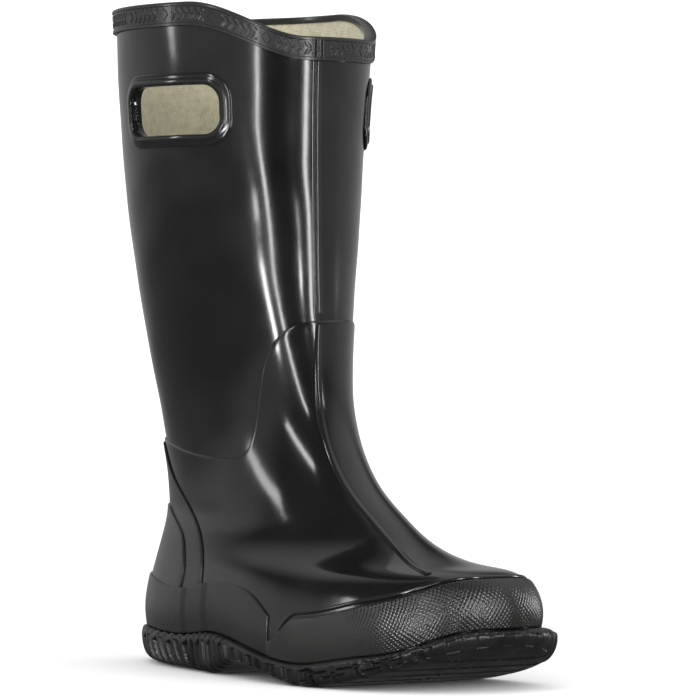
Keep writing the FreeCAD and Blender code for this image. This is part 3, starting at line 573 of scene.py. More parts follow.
r = stops(215, 3.0)[:, None]
angle = np.linspace(0, 2 * np.pi, 300, endpoint=False)[None, :]
top = collar_ring(angle[0], BAND * 0.75)[None, :]
ring = LINING_JOINT + 0.01 + (top - LINING_JOINT - 0.01) * r
angle = np.broadcast_to(angle, ring.shape)
slack = 0.25 * np.sin(angle * 7 + ring * 2.1) * np.sin(ring * 3.0 + 1.0) * ease((13.2 - ring) / 1.5)
depth = lining_depth(ring, angle)
leg_lining = laid_sheet("leg_lining", ring, angle, depth - LINING - np.abs(slack), depth, True,
                        holed(ring, angle, True))
paint(leg_lining, "leg_lining", material=jersey.material)


def beside_board(angle):
    """Ring where a layer ends, turned down beside the insole board."""
    ring = -0.3 + 0 * angle
    for _ in range(8):
        at = last_point(ring, angle)
        ring = np.minimum(ring + (floor_line(at[..., 0]) - BOARD * 0.6 - at[..., 2]) / 10, -0.02)
    return ring


angle = np.linspace(0, 2 * np.pi, 360, endpoint=False)[None, :]
low = beside_board(angle)
r = stops(190, 2.5)[:, None]
ring = low + 0.36 + (LINING_JOINT - 0.01 - low - 0.36) * r
angle = np.broadcast_to(angle, ring.shape)
depth = lining_depth(ring, angle)
foot_lining = laid_sheet("foot_lining", ring, angle, depth - LINING, depth, True)
paint(foot_lining, "foot_lining", material=jersey.material)

# ---------------------------------------------------------------------------
# Footbed: a sheet of grey foam cut to the shape of the foot, with a cream
# cotton cloth laminated on top. It lies loose on the insole board and lifts
# out by its heel end.
# ---------------------------------------------------------------------------
BED_CLEAR = 0.35
FOAM = 4.2
COVER = 0.8
BED_INSET = 7.0


def bed_outline(inset, height):
    """Ring of points round the footbed at a height above the board."""
    turn = np.linspace(0, 2 * np.pi, 420, endpoint=False)
    level = np.full_like(turn, -0.2)
    for _ in range(14):
        at = last_point(level, turn) - outward(level, turn) * inset
        level = level + np.clip((floor_line(at[:, 0]) + height - at[:, 2]) / 12, -0.3, 0.3)
    return last_point(level, turn) - outward(level, turn) * inset


def bed_sheet(name, low_height, high_height, crown):
    outline_low, outline_high = bed_outline(BED_INSET, low_height), bed_outline(BED_INSET, high_height)
    centre_x = np.clip(outline_high[:, 0], 40, 258)
    centre_y = 1.2 + 8.0 * ease((centre_x - 160) / 110)
    rings = []
    for outline, height, shares in ((outline_low, low_height, (0.85, 0.5, 0.2, 0.0)),
                                    (outline_high, high_height,
                                     (0.0, 0.01, 0.03, 0.07, 0.14, 0.25, 0.4, 0.6, 0.85))):
        for share in shares:
            at = outline.copy()
            at[:, 0] += (centre_x - at[:, 0]) * share
            at[:, 1] += (centre_y - at[:, 1]) * share
            drop = 0.0
            if outline is outline_high:
                drop = crown * (ease(share / 0.07) - 1.0)
            at[:, 2] = floor_line(at[:, 0]) + height + drop
            if outline is outline_low:
                at[:, 2] += 0.14 * np.maximum(0, at[:, 0] - 278.0)
            rings.append(at)
    points = np.concatenate(rings)
    columns = len(outline_low)
    faces = grid_quads(len(rings), columns, True).tolist()
    faces += close_across(0, columns, False) + close_across((len(rings) - 1) * columns, columns, True)
    return piece_from(name, points, faces, 45.0, points[:, :2] / 1000.0)


foam_grey = Finish("grey footbed foam").set(Roughness=0.95)
pores = foam_grey.node("ShaderNodeTexVoronoi", Vector=foam_grey.place, Scale=1400.0).outputs["Distance"]
foam_grey.colour(pores, (0.1, (0.05, 0.05, 0.055)), (0.6, (0.19, 0.19, 0.2)))
foam_grey.relief(pores, 0.0003, 0.5)
foam = bed_sheet("footbed_foam", BED_CLEAR, BED_CLEAR + FOAM, 0.4)
paint(foam, "footbed_foam", "footbed", foam_grey.material)
cover = bed_sheet("footbed_cover", BED_CLEAR + FOAM + CEMENT, BED_CLEAR + FOAM + CEMENT + COVER, 0.3)
paint(cover, "footbed_cover", "footbed", jersey.material)

# ---------------------------------------------------------------------------
# Leg and foot rubber: two calendered black sheets, outer and inner side,
# wrapped over the lining and butted at the front and back. The finished boot
# is lacquered before curing, which gives the deep, slightly uneven gloss.
# ---------------------------------------------------------------------------


def hand_laid(ring, angle):
    """Slow unevenness left in the sheet by rolling it down by hand."""
    at = last_point(ring, angle)
    x, y, z = at[..., 0], at[..., 1], at[..., 2]
    wave = (0.16 * np.sin(z / 13.0 + x / 31.0 + 0.6) * np.sin(x / 17.0 + y / 23.0 + 1.3)
            + 0.11 * np.sin(z / 7.3 + y / 15.0 + 2.1) * np.sin(x / 11.0 - z / 29.0)
            + 0.20 * np.sin(z / 34.0 + x / 19.0 + y / 27.0))
    return wave


def lacquered(name, dark, light, rough_low, rough_high, coat=0.35):
    """Black lacquered rubber: deep gloss, faint dulling and a few soft specks."""
    made = Finish(name).set(Specular_IOR_Level=0.5, Coat_Weight=coat, Coat_Roughness=0.10)
    haze = made.cloud(28, 5, 0.55)
    made.colour(haze, (0.3, dark), (0.75, light))
    made.roughness(made.cloud(16, 6, 0.6), 0.3, 0.7, rough_low, rough_high)
    orange_peel = made.sum(made.cloud(420, 3, 0.5), made.sum(made.cloud(90, 2, 0.5), 1.6, "MULTIPLY"))
    made.relief(orange_peel, 0.00006, 0.35)
    return made


leg_gloss = lacquered("lacquered leg rubber", (0.003, 0.003, 0.0034), (0.0068, 0.0068, 0.0068), 0.10, 0.19)
SEAM = math.radians(0.1)
for side, label in ((1, "outer"), (-1, "inner")):
    c = np.linspace(0, 1, 220)[None, :]
    angle = side * (SEAM + (np.pi - 2 * SEAM) * c)
    low = beside_board(angle)
    top = collar_ring(angle[0], BAND * 0.75)[None, :]
    r = stops(380, 2.0)[:, None]
    ring = low + (top - low) * r
    angle = np.broadcast_to(angle, ring.shape)
    free = ease((ring - 8.0) / 1.0)
    keep = holed(ring, angle, False)
    if side < 0:
        ring, angle, keep, free = ring[:, ::-1], angle[:, ::-1], keep[:, ::-1], free[:, ::-1]
    quiet = ease((collar_top(angle) - last_point(ring, angle)[..., 2] - 8) / 10)
    half_sheet = laid_sheet("rubber_half_" + label, ring, angle, -SHEET,
                            hand_laid(ring, angle) * free * quiet, False, keep)
    paint(half_sheet, "rubber_half_" + label, material=leg_gloss.material)

# ---------------------------------------------------------------------------
# Foot overlay: a second black sheet wrapped round the whole foot, its skived
# top edge stepping over the ankle and up the front of the leg. Vulcanising
# fuses it to the sheet below, and only the small step of its edge shows.
# ---------------------------------------------------------------------------
VAMP_TOP_OUT = fair_curve([(0, 10.25), (22, 10.15), (31, 9.93), (39, 9.5), (47, 8.8), (56, 8.15), (66, 7.72),
                           (78, 7.62), (95, 7.66), (130, 7.95), (155, 8.05), (180, 8.08)])
VAMP_TOP_IN = fair_curve([(0, 10.25), (30, 10.28), (48, 10.2), (58, 9.9), (66, 9.3), (74, 8.5), (84, 7.85),
                          (98, 7.68), (130, 7.95), (155, 8.05), (180, 8.08)])
VAMP = 1.1
RIM_CLEAR = 0.6
OVER_VAMP = CEMENT + VAMP


def above_rim(angle, depth):
    """Ring where a layer whose outer face is at a depth just clears the sole rim."""
    ring = 0.0 * angle
    rim = last_point(ring, angle)[..., 2] + RIM_CLEAR
    for _ in range(6):
        edge = last_point(ring, angle)[..., 2] + outward(ring, angle)[..., 2] * depth
        ring = ring + (rim - edge) / 10
    return np.maximum(ring, 0.03)


def skived(r, c, length, height, thin, taper):
    """Share of full thickness: cut edges rounded over and pressed thin."""
    def side(x, span):
        near = np.minimum(x, 1 - x) * span
        return thin + (1 - thin) * np.sqrt(np.clip(1 - (1 - np.clip(near / taper, 0, 1)) ** 2, 0, 1))
    share = np.ones(np.broadcast(r, c).shape)
    if height:
        share = share * side(r, height)
    if length:
        share = share * side(c, length)
    return share


def vamp_top(angle):
    return np.where(turned(angle) < 0, VAMP_TOP_IN(from_toe(angle)), VAMP_TOP_OUT(from_toe(angle)))


angle = np.linspace(0, 2 * np.pi, 540, endpoint=False)[None, :]
r = stops(200, 1.5)[:, None]
low = above_rim(angle, OVER_VAMP)
ring = low + (vamp_top(angle) - low) * r
angle = np.broadcast_to(angle, ring.shape)
share = skived(r, np.full_like(angle, 0.5), 0, 190.0, 0.45, 1.0)
calm = ease((ring - 1.5) / 2.5)
foot_gloss = lacquered("lacquered foot rubber", (0.003, 0.003, 0.0034), (0.0068, 0.0068, 0.0068), 0.09, 0.18)
vamp = laid_sheet("vamp_overlay", ring, angle, CEMENT,
                  CEMENT + VAMP * share + hand_laid(ring, angle) * calm * 0.6, True)
paint(vamp, "vamp_overlay", material=foot_gloss.material)

# ---------------------------------------------------------------------------
# Heel counters: two more plies round the heel, the smaller one on top of the
# larger, rolled down on the overlay. Their front edges fall in curved steps
# that print through the foxing strip below.
# ---------------------------------------------------------------------------
COUNTER = 0.9
COUNTER_OUT_DEPTH = OVER_VAMP + CEMENT
COUNTER_IN_DEPTH = COUNTER_OUT_DEPTH + COUNTER + CEMENT
COUNTERS = {
    "heel_counter_low": (fair_curve([(0, 108), (2.2, 107), (3.1, 107.5), (4.1, 109.5), (5.0, 113),
                                     (5.9, 119.5), (6.9, 131), (8.0, 141)]), 7.9, COUNTER_OUT_DEPTH),
    "heel_counter_top": (fair_curve([(0, 117.5), (1.9, 117), (2.6, 116.5), (3.6, 119), (4.4, 124),
                                     (5.25, 140)]), 5.3, COUNTER_IN_DEPTH),
}
heel_satin = lacquered("heel counter rubber", (0.008, 0.008, 0.0085), (0.015, 0.015, 0.015), 0.22, 0.34, 0.15)
for name, (edge, top, depth) in COUNTERS.items():
    r, c = stops(110, 1.6)[:, None], stops(150, 1.6)[None, :]
    ring = 0.1 + (top - 0.1) * r + 0 * c
    start = np.radians(edge(ring))
    angle = start + (2 * np.pi - 2 * start) * c
    low = above_rim(angle, depth + COUNTER)
    ring = low + (top - low) * r
    share = skived(r, c, 150.0, 100.0, 0.3, 1.1)
    ply = laid_sheet(name, ring, angle, depth, depth + COUNTER * share + 0.05 * hand_laid(ring, angle))
    paint(ply, name, material=heel_satin.material)

# ---------------------------------------------------------------------------
# Foxing: a strip of satin black rubber run round the heel and waist above the
# sole, butting the toe guard on both sides. It seals the sole joint and shows
# the counter steps beneath it as soft upright bands.
# ---------------------------------------------------------------------------
FOXING = 1.1
FOXING_TOP = fair_curve([(70, 1.9), (77, 2.02), (84, 2.25), (91, 2.38), (99, 2.32), (106, 2.2), (118, 2.0),
                         (132, 2.1), (148, 2.25), (180, 2.35)])


def guard_end(r):
    return np.radians(76.2 - 4.0 * ease((r - 0.55) / 0.45))


r, c = stops(32, 1.0)[:, None], stops(430, 1.1)[None, :]
start = guard_end(r * 0.6) + math.radians(0.2)
angle = start + (2 * np.pi - 2 * start) * c
low = above_rim(angle, OVER_VAMP + 2 * COUNTER + FOXING)
away = from_toe(angle)
ring = low + (FOXING_TOP(away) - 0.78 * np.clip((86 - away) / 14, 0, 1) ** 2 - low) * r
rest = OVER_VAMP + CEMENT + (COUNTER + CEMENT) * (ease((away - 103.2) / 2.2) + ease((away - 112.5) / 2.2))
share = skived(r, c, 430.0, 32.0, 0.35, 1.0)
foxing_satin = lacquered("foxing rubber", (0.007, 0.007, 0.0073), (0.012, 0.012, 0.012), 0.24, 0.36, 0.10)
foxing = laid_sheet("foxing", ring, angle, rest, rest + FOXING * share)
paint(foxing, "foxing", material=foxing_satin.material)

# ---------------------------------------------------------------------------
# Toe guard: thick strip round the toe, calendered with a fine criss-cross of
# raised lines so that it grips and hides scuffs. A rounded bead is rolled on
# along its top edge.
# ---------------------------------------------------------------------------
GUARD = 1.6
GUARD_TOP = fair_curve([(0, 2.6), (15, 2.55), (30, 2.32), (44, 2.1), (57, 1.88), (69, 1.75), (78, 1.7)])
HATCH_RELIEF = 0.20
STEEP_PITCH, SHALLOW_PITCH = 2.1, 2.7
BEAD_WIDTH, BEAD_HEIGHT = 2.3, 0.95


def guard_top(angle):
    """Top edge of the guard, its rear corners rounded off."""
    away = from_toe(angle)
    return GUARD_TOP(away) - 0.6 * np.clip((away - 66.5) / 5.7, 0, 1) ** 2


r, c = stops(30, 0.24)[:, None], stops(215, 0.26)[None, :]
angle = guard_end(r) * (1 - 2 * c)
low = above_rim(angle, OVER_VAMP + CEMENT + GUARD)
ring = low + (guard_top(angle) - low) * r
at = last_point(ring, angle)
girth = np.concatenate([np.zeros((len(r), 1)), np.linalg.norm(np.diff(at, axis=1), axis=-1)], 1)
girth = np.cumsum(girth, 1)
girth -= girth[:, girth.shape[1] // 2][:, None]
rise = np.concatenate([np.zeros((1, at.shape[1])), np.linalg.norm(np.diff(at, axis=0), axis=-1)], 0)
rise = np.cumsum(rise, 0)
steep = np.abs(np.mod((girth - 0.70 * rise) / STEEP_PITCH, 1.0) - 0.5) * 2
shallow = np.abs(np.mod((girth + 1.20 * rise) / SHALLOW_PITCH, 1.0) - 0.5) * 2
hatch = HATCH_RELIEF * np.maximum(1 - ease(steep / 0.75), 0.8 * (1 - ease(shallow / 0.65)))
edge_share = skived(r, c, 215.0, 30.0, 0.4, 1.3)
guard_satin = lacquered("criss-cross guard rubber", (0.008, 0.0078, 0.0072), (0.012, 0.0115, 0.011),
                        0.15, 0.22, 0.15)
over = GUARD * edge_share - HATCH_RELIEF + hatch * edge_share
guard = laid_sheet("toe_guard", ring[:, ::-1], angle[:, ::-1], OVER_VAMP + CEMENT,
                   OVER_VAMP + CEMENT + over[:, ::-1], crease=60.0)
paint(guard, "toe_guard", material=guard_satin.material)


def rolled_strip(name, ring, angle, across_ring, across_angle, profile, base, closed=False):
    """A moulded strip along a path; profile is (across, height) from one foot round to the other."""
    centre, out = last_point(ring, angle), outward(ring, angle)
    ahead = (last_point(ring + across_ring, angle + across_angle)
             - last_point(ring - across_ring, angle - across_angle))
    ahead /= np.linalg.norm(ahead, axis=-1, keepdims=True)
    across = np.cross(out, ahead)
    profile = np.array(profile)
    points = centre[:, None, :] + across[:, None, :] * profile[None, :, :1] + \
        out[:, None, :] * (base + profile[None, :, 1:])
    stations, around = len(ring), len(profile)
    faces = []
    for i in range(stations if closed else stations - 1):
        for j in range(around):
            k, n = (j + 1) % around, (i + 1) % stations
            faces.append([i * around + j, i * around + k, n * around + k, n * around + j])
    if not closed:
        faces.append(list(range(around))[::-1])
        faces.append([(stations - 1) * around + j for j in range(around)])
    return piece_from(name, points.reshape(-1, 3), faces, 50.0)


def round_bead(width, height, count=11):
    turn = np.linspace(0, np.pi, count)
    return [(-width / 2 * math.cos(a), height * math.sin(a) ** 0.8) for a in turn]


trim_gloss = lacquered("lacquered trim rubber", (0.0045, 0.0045, 0.005), (0.010, 0.010, 0.010), 0.10, 0.18)
sweep = np.linspace(1, -1, 260) * guard_end(np.array(1.0))
path = guard_top(sweep) + 0.17
slope = (guard_top(sweep - 0.01) - guard_top(sweep + 0.01)) / 2
bead = rolled_strip("toe_guard_bead", path, sweep, slope, -0.01 * np.ones_like(sweep),
                    round_bead(BEAD_WIDTH, BEAD_HEIGHT), OVER_VAMP + CEMENT)
paint(bead, "toe_guard_bead", material=trim_gloss.material)

# ---------------------------------------------------------------------------
# Seam ridges and back strip: narrow moulded strips that cover the butt joints
# of the rubber, up the front of the leg, on down the middle of the overlay,
# and flat up the back.
# ---------------------------------------------------------------------------
RIDGE_ANGLE = math.radians(1.5)
LEG_RIDGE_WIDTH, LEG_RIDGE_HEIGHT = 6.0, 1.5
VAMP_RIDGE_WIDTH, VAMP_RIDGE_HEIGHT = 4.2, 0.75
BACK_STRIP, BACK_STRIP_WIDTH, BACK_STRIP_LENGTH = 0.9, 17.6, 214
BACK_STRIP_HALF_TURN = math.radians(7.5)
RIDGE_ON_VAMP = fair_curve([(3.2, 21.0), (4.0, 20.0), (5.0, 16.0), (6.0, 13.5), (7.0, 13.5), (8.0, 12.0),
                            (9.0, 8.0), (10.2, 2.6)])


def ridge_profile(width, height):
    half_w = width / 2
    right = [(1.0, 0.0), (0.97, 0.30), (0.62, 0.42), (0.50, 0.62),
             (0.44, height * 0.82), (0.34, height * 0.97)]
    return [(-x * half_w, y) for x, y in right] + [(0.0, height)] + [(x * half_w, y) for x, y in right[::-1]]


def leg_span(turn):
    """Rings between the overlay's top edge and the collar binding at one angle."""
    at = np.array(turn)
    return float(vamp_top(at)) + 0.12, float(collar_ring(at, BAND_HEIGHT + 0.8))


low, high = leg_span(RIDGE_ANGLE)
ring = np.linspace(low, high, 120)
front = rolled_strip("front_ridge", ring, np.full_like(ring, RIDGE_ANGLE), np.full_like(ring, 0.01), 0 * ring,
                     ridge_profile(LEG_RIDGE_WIDTH, LEG_RIDGE_HEIGHT), CEMENT)
paint(front, "front_ridge", material=trim_gloss.material)

ring = np.linspace(3.25, float(vamp_top(np.array(RIDGE_ANGLE))) - 0.06, 200)
turn = np.radians(RIDGE_ON_VAMP(ring + 0.05) - RIDGE_ON_VAMP(ring - 0.05)) / 2
middle = rolled_strip("vamp_ridge", ring, np.radians(RIDGE_ON_VAMP(ring)), np.full_like(ring, 0.05), turn,
                      ridge_profile(VAMP_RIDGE_WIDTH, VAMP_RIDGE_HEIGHT), OVER_VAMP + CEMENT)
paint(middle, "vamp_ridge", material=trim_gloss.material)

r, c = stops(BACK_STRIP_LENGTH, 2.0)[:, None], stops(BACK_STRIP_WIDTH, 1.0)[None, :]
low, high = leg_span(np.pi)
ring = low + (high - low) * r + 0 * c
angle = np.pi + BACK_STRIP_HALF_TURN * (2 * c - 1) + 0 * r
share = skived(r, c, BACK_STRIP_WIDTH, BACK_STRIP_LENGTH, 0.35, 1.2)
back = laid_sheet("back_strip", ring, angle, CEMENT, CEMENT + BACK_STRIP * share)
paint(back, "back_strip", material=trim_gloss.material)

# ---------------------------------------------------------------------------
# Collar binding: a moulded rubber channel folded over the raw top of leg and
# lining, with a repeated feather pattern pressed into its outer face between
# two plain borders. A small tab covers its joint at the front.
# ---------------------------------------------------------------------------
LIP = SHEET + CEMENT + LINING + CEMENT
FEATHER_GROUP = 31.0
FEATHER_RELIEF = 0.42
BARB_PITCH = 4.2
TAB, TAB_WIDTH, TAB_LENGTH = 0.8, 5.0, 10.5
band_count = 1500
angle = np.linspace(0, 2 * np.pi, band_count, endpoint=False)
seat = collar_ring(angle, BAND * 0.75)
top_lift = BAND * 0.62
foot = -BAND_HEIGHT + top_lift
base, out = last_point(seat, angle), outward(seat, angle)
up = last_point(seat + 0.02, angle) - last_point(seat - 0.02, angle)
up /= np.linalg.norm(up, axis=-1, keepdims=True)
girth = np.concatenate([[0], np.cumsum(np.linalg.norm(np.diff(base, axis=0), axis=1))])
full_girth = girth[-1] + np.linalg.norm(base[0] - base[-1])


def feather(along, height):
    """Relief of the pressed pattern, 0 to 1: groups of slanted barbs, a lozenge between groups."""
    group = FEATHER_GROUP * (full_girth / FEATHER_GROUP) / round(full_girth / FEATHER_GROUP)
    u = (along / group) % 1.0 * group - group / 2
    barb = np.clip(1.4 * np.cos(2 * np.pi * (u - 0.75 * np.abs(height)) / BARB_PITCH) + 0.2, 0, 1)
    barb = barb * (np.abs(u) < 10.2) * (np.abs(height) < 3.3) * (np.abs(height) > 0.35)
    side = np.abs(np.abs(u) - group / 2)
    lozenge = ((side + 0.8 * np.abs(height)) < 2.6) * 1.0
    return np.clip(barb + lozenge, 0, 1)


heights = np.concatenate([[foot, foot + 0.25, foot + 0.7, foot + 1.1, foot + 1.5],
                          np.linspace(foot + 1.9, top_lift - 2.2, 40),
                          [top_lift - 1.8, top_lift - 1.3, top_lift - 0.8]])
strip_rows = [(np.full(band_count, CEMENT + 0.1), foot)]
middle_height = (foot + top_lift) / 2
for h in heights:
    border = (h < foot + 1.6) or (h > top_lift - 1.9)
    level = np.full(band_count, BAND - 0.5 if h == foot else BAND)
    if not border:
        level = BAND - 0.55 + FEATHER_RELIEF * feather(girth, np.full(band_count, h - middle_height))
    strip_rows.append((level, h))
strip_rows += [(np.full(band_count, d), h) for d, h in (
    (BAND - 0.35, top_lift - 0.3), (BAND - 1.0, top_lift), (-LIP * 0.5, top_lift + 0.05),
    (-LIP - 0.2, top_lift - 0.15), (-LIP - 0.9, top_lift - 0.7), (-LIP - 0.9, -1.4), (-LIP - 0.6, -2.5),
    (-LIP - 0.1, -2.6), (-LIP, 0.05), (CEMENT, 0.05))]
points = np.stack([base + out * d[:, None] + up * h for d, h in strip_rows])
around = len(strip_rows)
i, j = np.meshgrid(np.arange(around), np.arange(band_count), indexing="ij")
n, k = (i + 1) % around, (j + 1) % band_count
band_faces = np.stack([i * band_count + j, n * band_count + j, n * band_count + k, i * band_count + k], -1)
binding_satin = lacquered("binding rubber", (0.008, 0.008, 0.0085), (0.016, 0.016, 0.016), 0.20, 0.32, 0.2)
binding = piece_from("collar_binding", points.reshape(-1, 3), band_faces.reshape(-1, 4), 42.0)
paint(binding, "collar_binding", material=binding_satin.material)

tab_edge = (0.0, 0.15, 0.35, 0.6)
r, c = stops(TAB_LENGTH, 0.8, tab_edge)[:, None], stops(TAB_WIDTH, 0.5, tab_edge)[None, :]
angle = RIDGE_ANGLE + math.radians(2.1) * (2 * c - 1) + 0 * r
low, high = collar_ring(angle, BAND_HEIGHT - 0.9), collar_ring(angle, 1.2)
ring = low + (high - low) * r
over = BAND + CEMENT + TAB * skived(r, c, TAB_WIDTH, TAB_LENGTH, 0.3, 0.6) \
    - 0.35 * np.exp(-((np.abs(2 * c - 1) - 0.45) / 0.12) ** 2)
tab = laid_sheet("collar_tab", ring, angle, BAND + CEMENT, over)
paint(tab, "collar_tab", material=trim_gloss.material)

# ---------------------------------------------------------------------------
# Hand-hole frames: moulded rubber grommets, one each side, pushed through the
# leg from outside. A stepped flange lies on the leg, a neck lines the hole
# and a flat backing ring holds the lining down inside.
# ---------------------------------------------------------------------------


def on_leg(side, grow, count=220):
    """Points round the hand hole grown by a margin, laid on the leg: (ring, angle)."""
    half_l, half_h = HANDLE_LENGTH / 2 + grow, HANDLE_HEIGHT / 2 + grow
    radius = max(0.6, min(HANDLE_RADIUS + grow * 0.85, half_h - 0.01))
    straight_l, straight_h = half_l - radius, half_h - radius
    a, b = [], []
    corners = [(straight_l, straight_h, 0.0), (-straight_l, straight_h, 0.5), (-straight_l, -straight_h, 1.0),
               (straight_l, -straight_h, 1.5)]
    for k, (ca, cb, begin) in enumerate(corners):
        turn = np.linspace(begin * math.pi, (begin + 0.5) * math.pi, count // 8)
        a += list(ca + radius * np.cos(turn))
        b += list(cb + radius * np.sin(turn))
        edge = np.linspace(0, 1, count // 8 + 2)[1:-1]
        da, db, _ = corners[(k + 1) % 4]
        end = (begin + 0.5) * math.pi
        a += list(ca + radius * math.cos(end) + (da - ca) * edge)
        b += list(cb + radius * math.sin(end) + (db - cb) * edge)
    a, b = np.array(a), np.array(b)
    cos_t, sin_t = math.cos(HANDLE_TURN), math.sin(HANDLE_TURN)
    ring, angle = np.full_like(a, 13.1), np.full_like(a, -side * math.radians(72))

    def miss(ring, angle):
        p = last_point(ring, angle)
        return ((p[:, 0] - HANDLE_AXIS[0]) * cos_t - side * p[:, 1] * sin_t - a, p[:, 2] - HANDLE_AXIS[1] - b)

    for _ in range(12):
        f, g = miss(ring, angle)
        f1, g1 = miss(ring + 1e-4, angle)
        f2, g2 = miss(ring, angle + 1e-4)
        fr, gr, fa, ga = (f1 - f) / 1e-4, (g1 - g) / 1e-4, (f2 - f) / 1e-4, (g2 - g) / 1e-4
        det = fr * ga - fa * gr
        ring, angle = ring - (f * ga - fa * g) / det, angle - (fr * g - f * gr) / det
    return ring, angle


def grommet(name, side, profile):
    """Closed moulding round the hand hole; profile is (margin from the hole, depth)."""
    loops = []
    for grow, depth in profile:
        ring, angle = on_leg(side, grow)
        loops.append(last_point(ring, angle) + outward(ring, angle) * depth)
    count, around = len(loops[0]), len(loops)
    faces = []
    for i in range(around):
        for j in range(count):
            n, k = (i + 1) % around, (j + 1) % count
            quad = [i * count + j, i * count + k, n * count + k, n * count + j]
            faces.append(quad if side < 0 else quad[::-1])
    return piece_from(name, np.concatenate(loops), faces, 40.0)


NECK_DEPTH = SHEET + LINING + 3 * CEMENT + 0.9
FRAME_PROFILE = [(0.0, -NECK_DEPTH), (0.0, 1.4), (0.25, 1.9), (0.8, 2.2), (2.3, 2.25), (2.8, 2.1),
                 (3.05, 1.7), (3.4, 1.5), (4.9, 1.4), (5.7, 1.2), (6.3, 0.8), (6.5, 0.4), (6.5, CEMENT),
                 (HANDLE_NECK, CEMENT), (HANDLE_NECK, -NECK_DEPTH)]
BACK_FACE = SHEET + LINING + 2 * CEMENT
BACK_PROFILE = [(HANDLE_NECK + CEMENT, -BACK_FACE), (7.6, -BACK_FACE), (7.6, -BACK_FACE - 0.4),
                (7.2, -BACK_FACE - 0.85), (2.2, -BACK_FACE - 0.9), (HANDLE_NECK + CEMENT, -BACK_FACE - 0.9)]
for side, label in ((-1, "outer"), (1, "inner")):
    hand_frame = grommet("handle_frame_" + label, side, FRAME_PROFILE)
    paint(hand_frame, "handle_frame_" + label, material=trim_gloss.material)
    backing = grommet("handle_backing_" + label, side, BACK_PROFILE)
    paint(backing, "handle_backing_" + label, material=trim_gloss.material)

# ---------------------------------------------------------------------------
# Studio: a pale floor, two tall soft strips, two smaller soft boxes and three
# small cards near the foot. The lacquer mirrors a room of its own, lit round
# the middle and in two soft glows, with a dark gap; other light is even.
# ---------------------------------------------------------------------------
boot_middle = Vector((cad_low + cad_high) / 2)
floor_mesh = bpy.data.meshes.new("floor")
floor_mesh.from_pydata([(-1, -1, 0), (1, -1, 0), (1, 1, 0), (-1, 1, 0)], [], [(0, 1, 2, 3)])
floor = bpy.data.objects.new("floor", floor_mesh)
bpy.context.scene.collection.objects.link(floor)
floor.location = (0, 0, cad_low.z - 0.0002)
pale = Finish("pale studio floor").set(Base_Color=(0.86, 0.86, 0.87, 1), Roughness=0.6,
                                       Specular_IOR_Level=0.2)
floor_mesh.materials.append(pale.material)
floor.visible_glossy = False


def direction(azimuth, elevation):
    """Unit vector away from the boot, in degrees; azimuth 0 is its outer side, 90 its toe."""
    a, e = math.radians(azimuth), math.radians(elevation)
    return Vector((math.sin(a) * math.cos(e), -math.cos(a) * math.cos(e), math.sin(e)))


CAMERA_AZIMUTH, CAMERA_ELEVATION, CAMERA_DISTANCE = 58, 0.3, 2.4
SENSOR = 36.0
FOCAL_SHARE = 4488.0, 700.0
aim = Vector(in_frame(np.array([131.0, 33.0, 172.0])))
camera = bpy.data.cameras.new("camera")
camera.sensor_width, camera.lens = SENSOR, FOCAL_SHARE[0] * SENSOR / FOCAL_SHARE[1]
camera.clip_end = 60
camera_object = bpy.data.objects.new("camera", camera)
bpy.context.scene.collection.objects.link(camera_object)
camera_object.location = aim + CAMERA_DISTANCE * direction(CAMERA_AZIMUTH, CAMERA_ELEVATION)
camera_object.rotation_euler = (aim - camera_object.location).to_track_quat("-Z", "Y").to_euler()
bpy.context.scene.camera = camera_object

BOX_DISTANCE = 2.2
CARD_DISTANCE = 0.5


def soft_box(name, lit, azimuth, elevation, far, wide, tall, power, lean=0.0):
    """A rectangular light turned to the place that it lights, its long side leaning by degrees."""
    light = bpy.data.lights.new(name, "AREA")
    light.shape, light.size, light.size_y, light.energy = "RECTANGLE", wide, tall, power
    made = bpy.data.objects.new(name, light)
    made.location = lit + far * direction(azimuth, elevation)
    facing_lit = (lit - made.location).to_track_quat("-Z", "Y")
    made.rotation_euler = (facing_lit @ Quaternion((0, 0, 1), math.radians(lean))).to_euler()
    bpy.context.scene.collection.objects.link(made)
    return made


soft_box("strip left of camera", boot_middle, 49, 4, BOX_DISTANCE, 0.10, 2.4, 15, lean=-12)
soft_box("strip right of camera", boot_middle, 103, 4, BOX_DISTANCE, 0.18, 2.4, 22)
# ring and degrees round the boot that each card lights, its direction, then width, height and power
CARDS = [(1.2, 30, 22, 6, 0.04, 0.22, 1.0), (1.2, 9, 84, 8, 0.035, 0.26, 0.9),
         (1.2, -15, 176, 6, 0.05, 0.2, 0.5)]
for ring, degrees, azimuth, elevation, wide, tall, power in CARDS:
    lit = Vector(in_frame(last_point(np.array(ring), np.array(math.radians(degrees)))))
    soft_box("card", lit, azimuth, elevation, CARD_DISTANCE, wide, tall, power).visible_camera = False
soft_box("low over the toe", boot_middle, 14, 34, BOX_DISTANCE, 0.20, 1.2, 8)
soft_box("far left, low", boot_middle, -28, 12, BOX_DISTANCE, 0.20, 0.7, 3)

world = bpy.data.worlds.new("studio")
bpy.context.scene.world = world
world.use_nodes = True
sky = world.node_tree
where = sky.nodes.new("ShaderNodeTexCoord").outputs["Generated"]


def toward(azimuth, elevation):
    """How far a place in the surroundings lies in one direction, 1 when straight at it."""
    made = sky.nodes.new("ShaderNodeVectorMath")
    made.operation = "DOT_PRODUCT"
    sky.links.new(where, made.inputs[0])
    made.inputs[1].default_value = direction(azimuth, elevation)
    return made.outputs["Value"]


def grey_along(value, *marks):
    """Grey levels along a value: marks are (place, level)."""
    made = sky.nodes.new("ShaderNodeValToRGB")
    while len(made.color_ramp.elements) < len(marks):
        made.color_ramp.elements.new(0.5)
    for element, (place, level) in zip(made.color_ramp.elements, marks):
        element.position, element.color = place, (level, level, level, 1)
    sky.links.new(value, made.inputs["Fac"])
    return made.outputs["Color"]


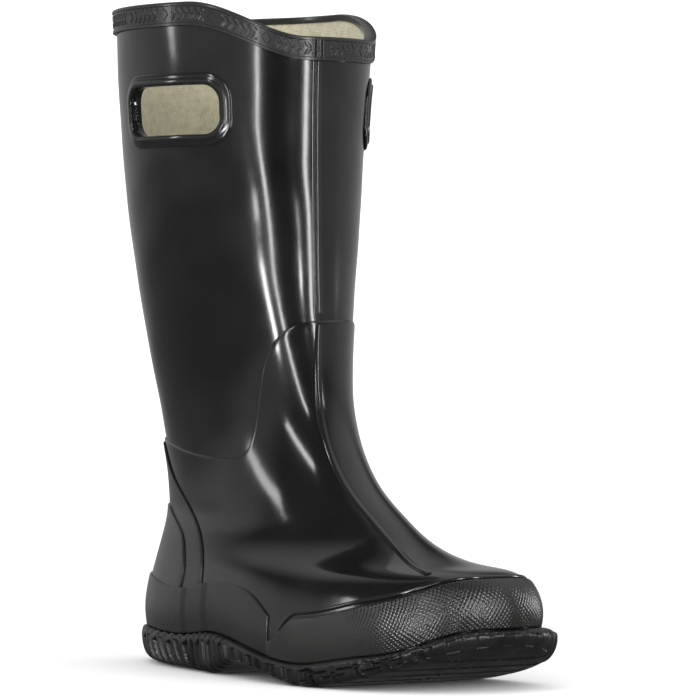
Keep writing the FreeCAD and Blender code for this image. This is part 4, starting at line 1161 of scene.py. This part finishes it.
def joined(how, first, second):
    made = sky.nodes.new("ShaderNodeMix")
    made.data_type, made.blend_type = "RGBA", how
    made.inputs["Factor"].default_value = 1.0
    sky.links.new(first, made.inputs[6])
    sky.links.new(second, made.inputs[7])
    return made.outputs[2]


# dark gap in the walls, then their light from floor to ceiling
walls = grey_along(toward(77, 0), (0.0, 0.40), (0.30, 0.38), (0.72, 0.40), (0.88, 0.34), (0.93, 0.01))
height = sky.nodes.new("ShaderNodeSeparateXYZ")
sky.links.new(where, height.inputs[0])
spread = sky.nodes.new("ShaderNodeMapRange")
sky.links.new(height.outputs["Z"], spread.inputs["Value"])
spread.inputs["From Min"].default_value = -1.0
fall = grey_along(spread.outputs["Result"], (0.0, 0.10), (0.44, 0.30), (0.49, 1.0), (0.58, 1.0), (0.69, 0.12),
                  (1.0, 0.08))
glowing = joined("MULTIPLY", walls, fall)
# two soft glows: direction, where each begins and is full, and its level
for azimuth, elevation, start, full, level in ((168, 54, 0.66, 1.0, 0.60), (-95, 42, 0.80, 1.0, 0.45)):
    lobe = sky.nodes.new("ShaderNodeMapRange")
    lobe.interpolation_type = "SMOOTHSTEP"
    sky.links.new(toward(azimuth, elevation), lobe.inputs["Value"])
    for key, value in (("From Min", start), ("From Max", full), ("To Min", 0.0), ("To Max", level)):
        lobe.inputs[key].default_value = value
    glowing = joined("ADD", glowing, lobe.outputs["Result"])
backdrop = sky.nodes["Background"]
backdrop.inputs["Color"].default_value = (1, 1, 1, 1)
backdrop.inputs["Strength"].default_value = 1.3
mirrored = sky.nodes.new("ShaderNodeBackground")
sky.links.new(glowing, mirrored.inputs["Color"])
# reflections see the mirrored room; everything else is lit by the even white backdrop
ray = sky.nodes.new("ShaderNodeLightPath")
choose = sky.nodes.new("ShaderNodeMixShader")
sky.links.new(ray.outputs["Is Glossy Ray"], choose.inputs["Fac"])
sky.links.new(backdrop.outputs[0], choose.inputs[1])
sky.links.new(mirrored.outputs[0], choose.inputs[2])
sky.links.new(choose.outputs[0], sky.nodes["World Output"].inputs["Surface"])
bpy.context.scene.view_settings.view_transform = "Standard"
